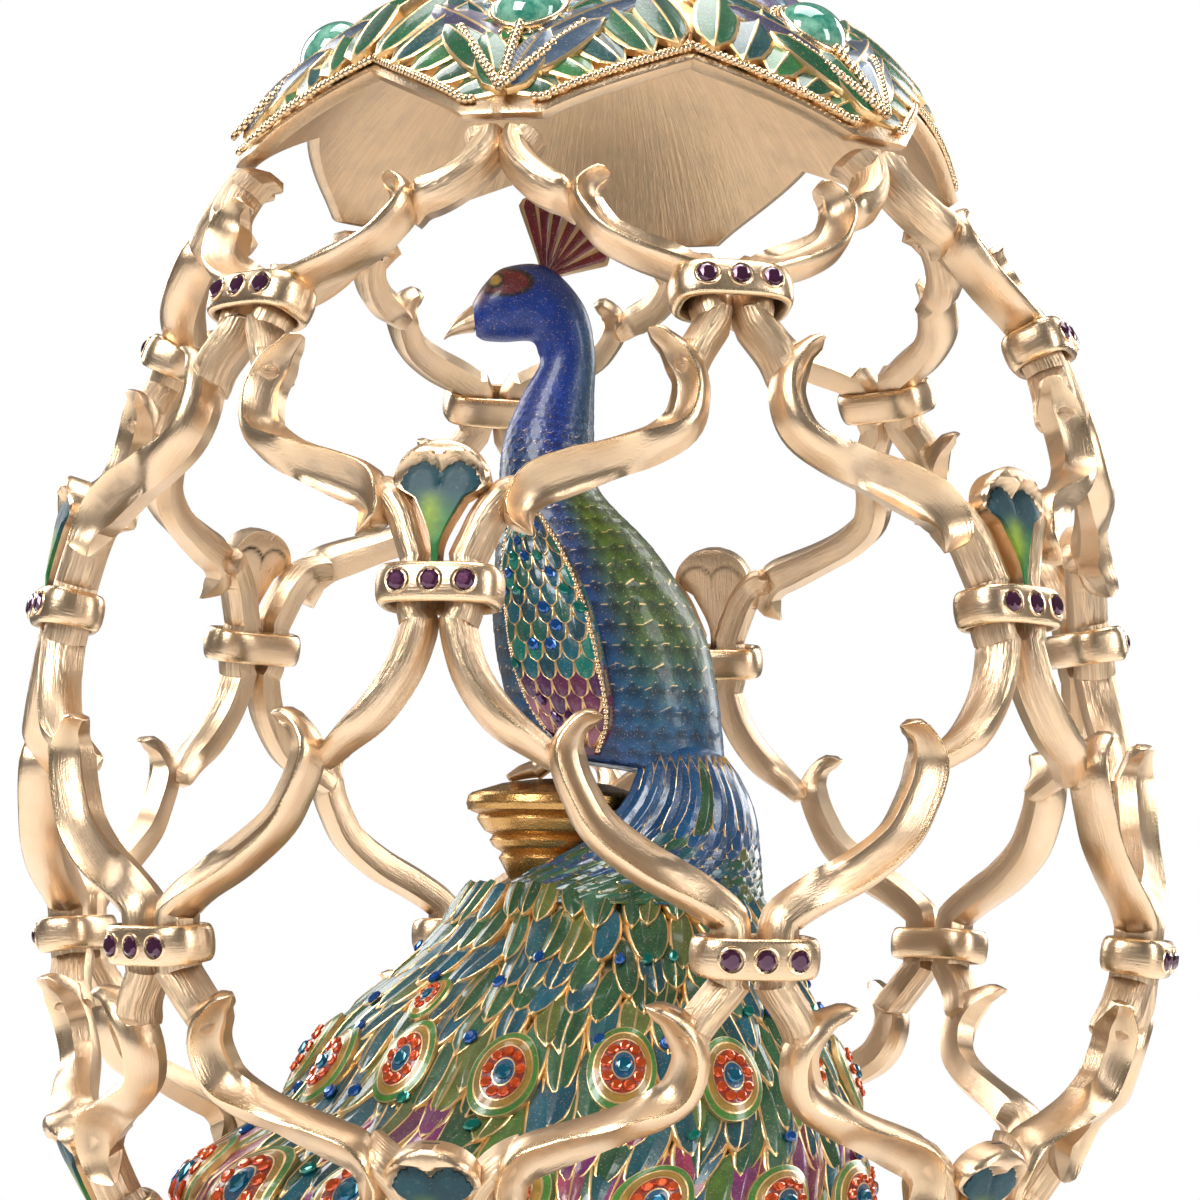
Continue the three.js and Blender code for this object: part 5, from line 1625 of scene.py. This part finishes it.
@dataclass
class Turnery:
    """The turned pieces: the pedestal, and the guessed floor, collar and base."""

    gap: float = 0.3 * MM
    rod_depth: float = 4.8 * MM
    floor_top: float = 45 * MM
    floor_radius: float = 39.5 * MM
    floor_rim: float = 2.4 * MM
    collar_height: float = 8.6 * MM
    collar_step: float = 1.3 * MM
    base_radius: float = 40 * MM
    waist_radius: float = 17 * MM
    foot: float = 3.2 * MM
    pedestal_x: float = -4 * MM
    cornice: float = 10.2 * MM
    neck: float = 5 * MM
    pedestal_foot: float = 8.5 * MM

    def collar_edges(self) -> tuple[Array, Array, Array]:
        """The collar's outer and inner upper edges and its underside, as (radius, height)."""
        level = ROW_LEVELS[-1]
        outward, upward = (float(part) for part in SKIN.slope(level))
        radius = float(SKIN.girth(level)) - self.rod_depth / 2 * outward + self.gap * upward
        height = SKIN.widest + level - self.rod_depth / 2 * upward - self.gap * outward
        reach = self.rod_depth * 0.72
        inner = height - reach * upward
        return (np.array([radius + reach * outward, height + reach * upward]),
                np.array([radius - reach * outward, inner]),
                np.array([radius - 1 * MM, inner - self.collar_height]))

    def turn(self, profile: Array, segments: int = 108, wave: Optional[Callable] = None,
             sheen_and_wear: float = 0.3, shade_and_dirt: Optional[Array] = None) -> Draft:
        """A turned draft with the coordinates of its metal, an even sheen and wear, and painted shade by
        profile point.
        """
        rings = lathe(profile, segments, wave)
        angle = np.arctan2(rings[..., 0], -rings[..., 1])
        radius = np.hypot(rings[..., 0], rings[..., 1])
        hollow = np.zeros(len(profile)) if shade_and_dirt is None else shade_and_dirt
        return Draft().tube(rings, triple(radius, rings[..., 2], angle * 0.03),
                            triple(sheen_and_wear, hollow[:, None], 0 * radius))

    def pedestal(self, amber: Material) -> None:
        """Shows the pedestal: a moulded capital under a sloping top, on a fluted column."""
        def level(hundredths: float) -> float:
            """Height of a place given in the peacock's hundredths."""
            return self.floor_top + hundredths * FIGURE.height / 100

        under = self.floor_top + self.gap
        neck, rim = self.neck, self.cornice
        foot = [(0.4 * MM, under), (self.pedestal_foot, under), (self.pedestal_foot, under + 2 * MM),
                (neck * 1.35, under + 3.2 * MM), (neck * 1.1, under + 5 * MM)]
        column = [(neck * wide, level(high)) for wide, high in (
            (1, 30), (1.02, 36), (1.2, 37.4), (1.28, 38), (1.2, 38.5), (1.4, 39), (1.5, 39.6), (1.42, 40.1),
            (1.62, 40.5))]
        cornice = [(rim * wide, level(high)) for wide, high in (
            (0.86, 41.3), (0.88, 41.6), (0.86, 42), (0.98, 42.4), (1, 43), (0.98, 43.7), (0.94, 44),
            (0.6, 44.9), (0.25, 45.3))]
        profile = np.array(foot + column + cornice + [(0.4 * MM, level(45.4))])
        fine = np.vstack([spline(profile[i:i + 2], 5)[:-1] for i in range(len(profile) - 1)] + [profile[-1:]])
        draft = self.turn(fine, 96, lambda angle, z, r: 0.035 * r * np.cos(14 * angle)
                          * (z < level(35.5)) * (z > under + 5 * MM))
        mesh = draft.mesh("pedestal", 30)
        mesh.transform(Matrix.Translation((self.pedestal_x, 0, 0)))
        Piece.show("moulded_pedestal", mesh, amber, "amber", ["pedestal"])

    def floor(self, enamel: Material) -> None:
        """Shows the cage's floor: green enamel waved from the middle, in a gilt rim."""
        seat, top = self.collar_edges()[1]
        rim = self.floor_radius
        lower = [(0.5 * MM, top + self.gap), (seat - self.floor_rim, top + self.gap),
                 (rim, self.floor_top - self.floor_rim), (rim, self.floor_top - 0.7 * MM),
                 (rim - 0.5 * MM, self.floor_top), (rim - 1.6 * MM, self.floor_top - 0.1 * MM)]
        radii = np.linspace(rim - 2.2 * MM, 0.6 * MM, 56)
        profile = np.array(lower + [(r, self.floor_top - 0.5 * MM) for r in radii])
        rings = lathe(profile, 192)
        radius = np.hypot(rings[..., 0], rings[..., 1])
        angle = np.arctan2(rings[..., 0], -rings[..., 1])
        inside = smooth(radius, rim - 1.9 * MM, rim - 2.4 * MM) * (rings[..., 2] > top + 2 * MM)
        waves = np.sin(angle * 36 + radius * 500)
        rings[..., 2] += inside * (0.22 * MM + 0.2 * MM * waves * smooth(radius, 3 * MM, 10 * MM))
        bare = np.clip(0.5 + (0.5 - inside) * 2 + 0.5 * (waves > 0.93), 0, 1)
        draft = Draft().tube(rings, triple(bare, 0, radius), even((0.01, 0.10, 0.05), rings))
        Piece.show("waved_cage_floor", draft.mesh("cage_floor"), enamel, "ground", ["cage_floor"])

    def collar(self, gilt: Material) -> None:
        """Shows the collar that the rods end in, with a beaded waistline."""
        outer, inner, under = self.collar_edges()
        step = self.collar_step
        side = [(under[0], under[1]), (outer[0] - 0.5 * MM, under[1] + step),
                (outer[0], under[1] + step * 1.5)]
        waist = [(outer[0] - 0.1 * MM, under[1] + 3 * MM), (outer[0] - 0.9 * MM, under[1] + 3.6 * MM),
                 (outer[0] - 0.9 * MM, under[1] + 5.4 * MM), (outer[0] - 0.1 * MM, under[1] + 6 * MM)]
        profile = np.array([(0.5 * MM, under[1])] + side + waist + [
            (outer[0] + 0.1 * MM, outer[1] - 1 * MM), (outer[0] - 0.1 * MM, outer[1] - 0.2 * MM),
            (inner[0], inner[1]), (inner[0] - 3 * MM, inner[1]), (0.5 * MM, inner[1])])
        shade_and_dirt = np.zeros(len(profile))
        # Painted shade in the waist groove that the beads sit in.
        shade_and_dirt[5:7] = 0.7
        draft = self.turn(profile, 144, None, 0.3, shade_and_dirt)
        turn = circle(90)
        radius = outer[0] - 0.75 * MM
        centres = triple(radius * np.sin(turn), -radius * np.cos(turn), under[1] + 4.5 * MM)
        beads(draft, centres, triple(np.sin(turn), -np.cos(turn), 0), 0.95 * MM)
        Piece.show("beaded_collar", draft.mesh("collar", 32), gilt, "gilt", ["collar"])

    def base(self, gilt: Material) -> None:
        """Shows the base: a stepped foot, lobes over the foot, a knop at the waist and a lobed bell."""
        bell, collar_under = self.collar_edges()[2]
        top = collar_under - self.gap
        waist = (top + self.foot) / 2
        radius, foot, step, narrow = self.base_radius, self.foot, self.collar_step, self.waist_radius
        foot_part = [(0.5 * MM, 0), (radius - 0.6 * MM, 0), (radius, 0.7 * MM), (radius, foot - 0.5 * MM),
                     (radius - 0.6 * MM, foot), (radius * 0.93, foot + 0.1 * MM),
                     (radius * 0.90, foot + 0.5 * MM)]
        lobes = spline([(radius * 0.885, foot * 1.3), (radius * 0.84, foot * 1.75),
                        (radius * 0.72, foot * 2.35), (narrow * 1.35, waist - foot * 0.75),
                        (narrow * 1.12, waist)], 40)
        knop = spline([(narrow * 1.06, waist + 0.3 * MM), (narrow * 1.14, waist + 1.2 * MM),
                       (narrow * 1.06, waist + 2.1 * MM)], 8)
        upper = spline([(narrow * 1.04, waist + 2.4 * MM), (bell * 0.66, top - 5.2 * MM),
                        (bell * 0.88, top - 3 * MM), (bell * 0.95, top - step * 1.3)], 30)
        rim = [(bell * 0.985, top - step), (bell, top - step * 0.7), (bell, top - 0.3 * MM),
               (bell - 0.4 * MM, top), (0.5 * MM, top)]
        profile = np.vstack([foot_part, lobes, knop, upper, rim])

        def wave(angle: Array, height: Array, r: Array) -> Array:
            """Lobes on the spreading foot and on the bell."""
            low = smooth(height, foot * 1.35, foot * 2.0) * smooth(height, waist, waist - 2.5 * MM)
            high = smooth(height, waist + 3 * MM, waist + 5 * MM)
            high = high * smooth(height, top - 1.8 * MM, top - 2.8 * MM)
            lobe = np.abs(np.cos(12 * angle)) ** 0.8
            return 0.030 * r * (lobe - 0.75) * low + 0.026 * r * (lobe - 0.9) * high

        # Painted shade in the creases at the waist and where the lobes leave the foot.
        shade_and_dirt = 0.5 * bump(profile[:, 1], waist, 0.8 * MM) + 0.4 * bump(profile[:, 1], foot * 1.35, 0.5 * MM)
        draft = self.turn(profile, 192, wave, 0.25, shade_and_dirt)
        turn = circle(120)
        centres = triple(radius * 0.915 * np.sin(turn), -radius * 0.915 * np.cos(turn), foot + 0.45 * MM)
        beads(draft, centres, even((0, 0, 1.0), centres), 0.85 * MM)
        Piece.show("lobed_base", draft.mesh("base", 40), gilt, "gilt", ["base"])

    def build(self, gilt: Material, amber: Material, enamel: Material) -> None:
        """Shows all the turned pieces."""
        self.pedestal(amber)
        self.floor(enamel)
        self.collar(gilt)
        self.base(gilt)


# Stage

@dataclass
class Studio:
    """Camera, lights and floor."""

    lens: float = 116.6
    spot: tuple[float, float, float] = (0.0006, -0.4429, 0.0886)
    pitch: float = 94.23
    roll: float = 1.04
    floor_radius: float = 0.45

    def camera(self) -> None:
        """Places the camera where the photograph was taken from."""
        data = bpy.data.cameras.new("camera")
        data.lens, data.sensor_width, data.clip_start = self.lens, 36.0, 0.01
        camera = bpy.data.objects.new("camera", data)
        tipped = Matrix.Rotation(math.radians(self.pitch), 4, "X")
        rolled = Matrix.Rotation(math.radians(self.roll), 4, "Z")
        camera.matrix_world = Matrix.Translation(self.spot) @ tipped @ rolled
        bpy.context.scene.collection.objects.link(camera)
        bpy.context.scene.camera = camera

    def lamp(self, name: str, place: Sequence[float], size: tuple[float, float], power: float,
             colour: Colour = (1.0, 1.0, 1.0)) -> None:
        """Adds one soft light that faces the egg."""
        data = bpy.data.lights.new(name, "AREA")
        data.shape, data.size, data.size_y, data.energy, data.color = "RECTANGLE", *size, power, colour
        lamp = bpy.data.objects.new(name, data)
        lamp.location = place
        lamp.rotation_euler = (Vector((0, 0, SKIN.widest)) - Vector(place)).to_track_quat("-Z", "Y").to_euler()
        bpy.context.scene.collection.objects.link(lamp)

    def world(self) -> None:
        """A white surround for the camera, and a softer, darker one for what the metal mirrors."""
        world = bpy.data.worlds.new("studio")
        world.use_nodes = True
        tree = world.node_tree
        ground = tree.nodes["Background"]
        ground.inputs["Color"].default_value = (0.62, 0.60, 0.58, 1)
        ground.inputs["Strength"].default_value = 0.2
        white = tree.nodes.new("ShaderNodeBackground")
        white.inputs["Color"].default_value = (1, 1, 1, 1)
        white.inputs["Strength"].default_value = 1.0
        ray = tree.nodes.new("ShaderNodeLightPath")
        mix = tree.nodes.new("ShaderNodeMixShader")
        tree.links.new(ray.outputs["Is Camera Ray"], mix.inputs[0])
        tree.links.new(ground.outputs[0], mix.inputs[1])
        tree.links.new(white.outputs[0], mix.inputs[2])
        tree.links.new(mix.outputs[0], tree.nodes["World Output"].inputs["Surface"])
        bpy.context.scene.world = world

    def floor(self) -> None:
        """A pale disc under the egg."""
        rings = lathe([(self.floor_radius, -0.012), (self.floor_radius, -0.0002)], 96)
        mesh = Draft().tube(rings).mesh("floor")
        bench = Bench("pale_floor")
        bench.surface(Base_Color=(0.86, 0.855, 0.85), Roughness=0.6)
        mesh.materials.append(bench.material)
        floor = bpy.data.objects.new("floor", mesh)
        bpy.context.scene.collection.objects.link(floor)

    def build(self) -> None:
        """Sets the whole stage."""
        bpy.context.scene.view_settings.view_transform = "Standard"
        self.camera()
        self.world()
        self.floor()
        self.lamp("key", (-0.55, -0.65, 0.75), (0.45, 0.5), 9.5)
        self.lamp("fill", (0.75, -0.45, 0.35), (0.22, 0.6), 3.2)
        self.lamp("top", (0.05, 0.1, 0.95), (0.6, 0.6), 6)
        self.lamp("back_left", (-0.6, 0.6, 0.5), (0.4, 0.6), 4)
        self.lamp("back_right", (0.65, 0.6, 0.45), (0.4, 0.6), 4)


def main() -> None:
    """Builds every part in order."""
    logging.basicConfig(level=logging.INFO, format="%(name)s: %(message)s")
    Studio().build()
    gilt = Gilt("satin_gilt").material()
    crystal = Crystal("cut_crystal").material()
    enamel = Enamel("glossy_enamel").material()
    deep_enamel = Enamel("smooth_enamel", flecks=0.0, depth=0.00003, coat=0.04, roughness=0.5).material()
    amber = Gilt("amber_gold", colour=(0.55, 0.28, 0.06), roughness=0.24).material()
    bands = Bands()
    Trellis().build(gilt)
    bands.build(gilt, crystal)
    Palmettes(bands).build(gilt, deep_enamel)
    Cap().build(gilt, enamel, Stone("green_stone").material())
    Peacock().build(gilt, enamel, crystal)
    Turnery().build(gilt, amber, enamel)


if __name__ == "__main__":
    main()
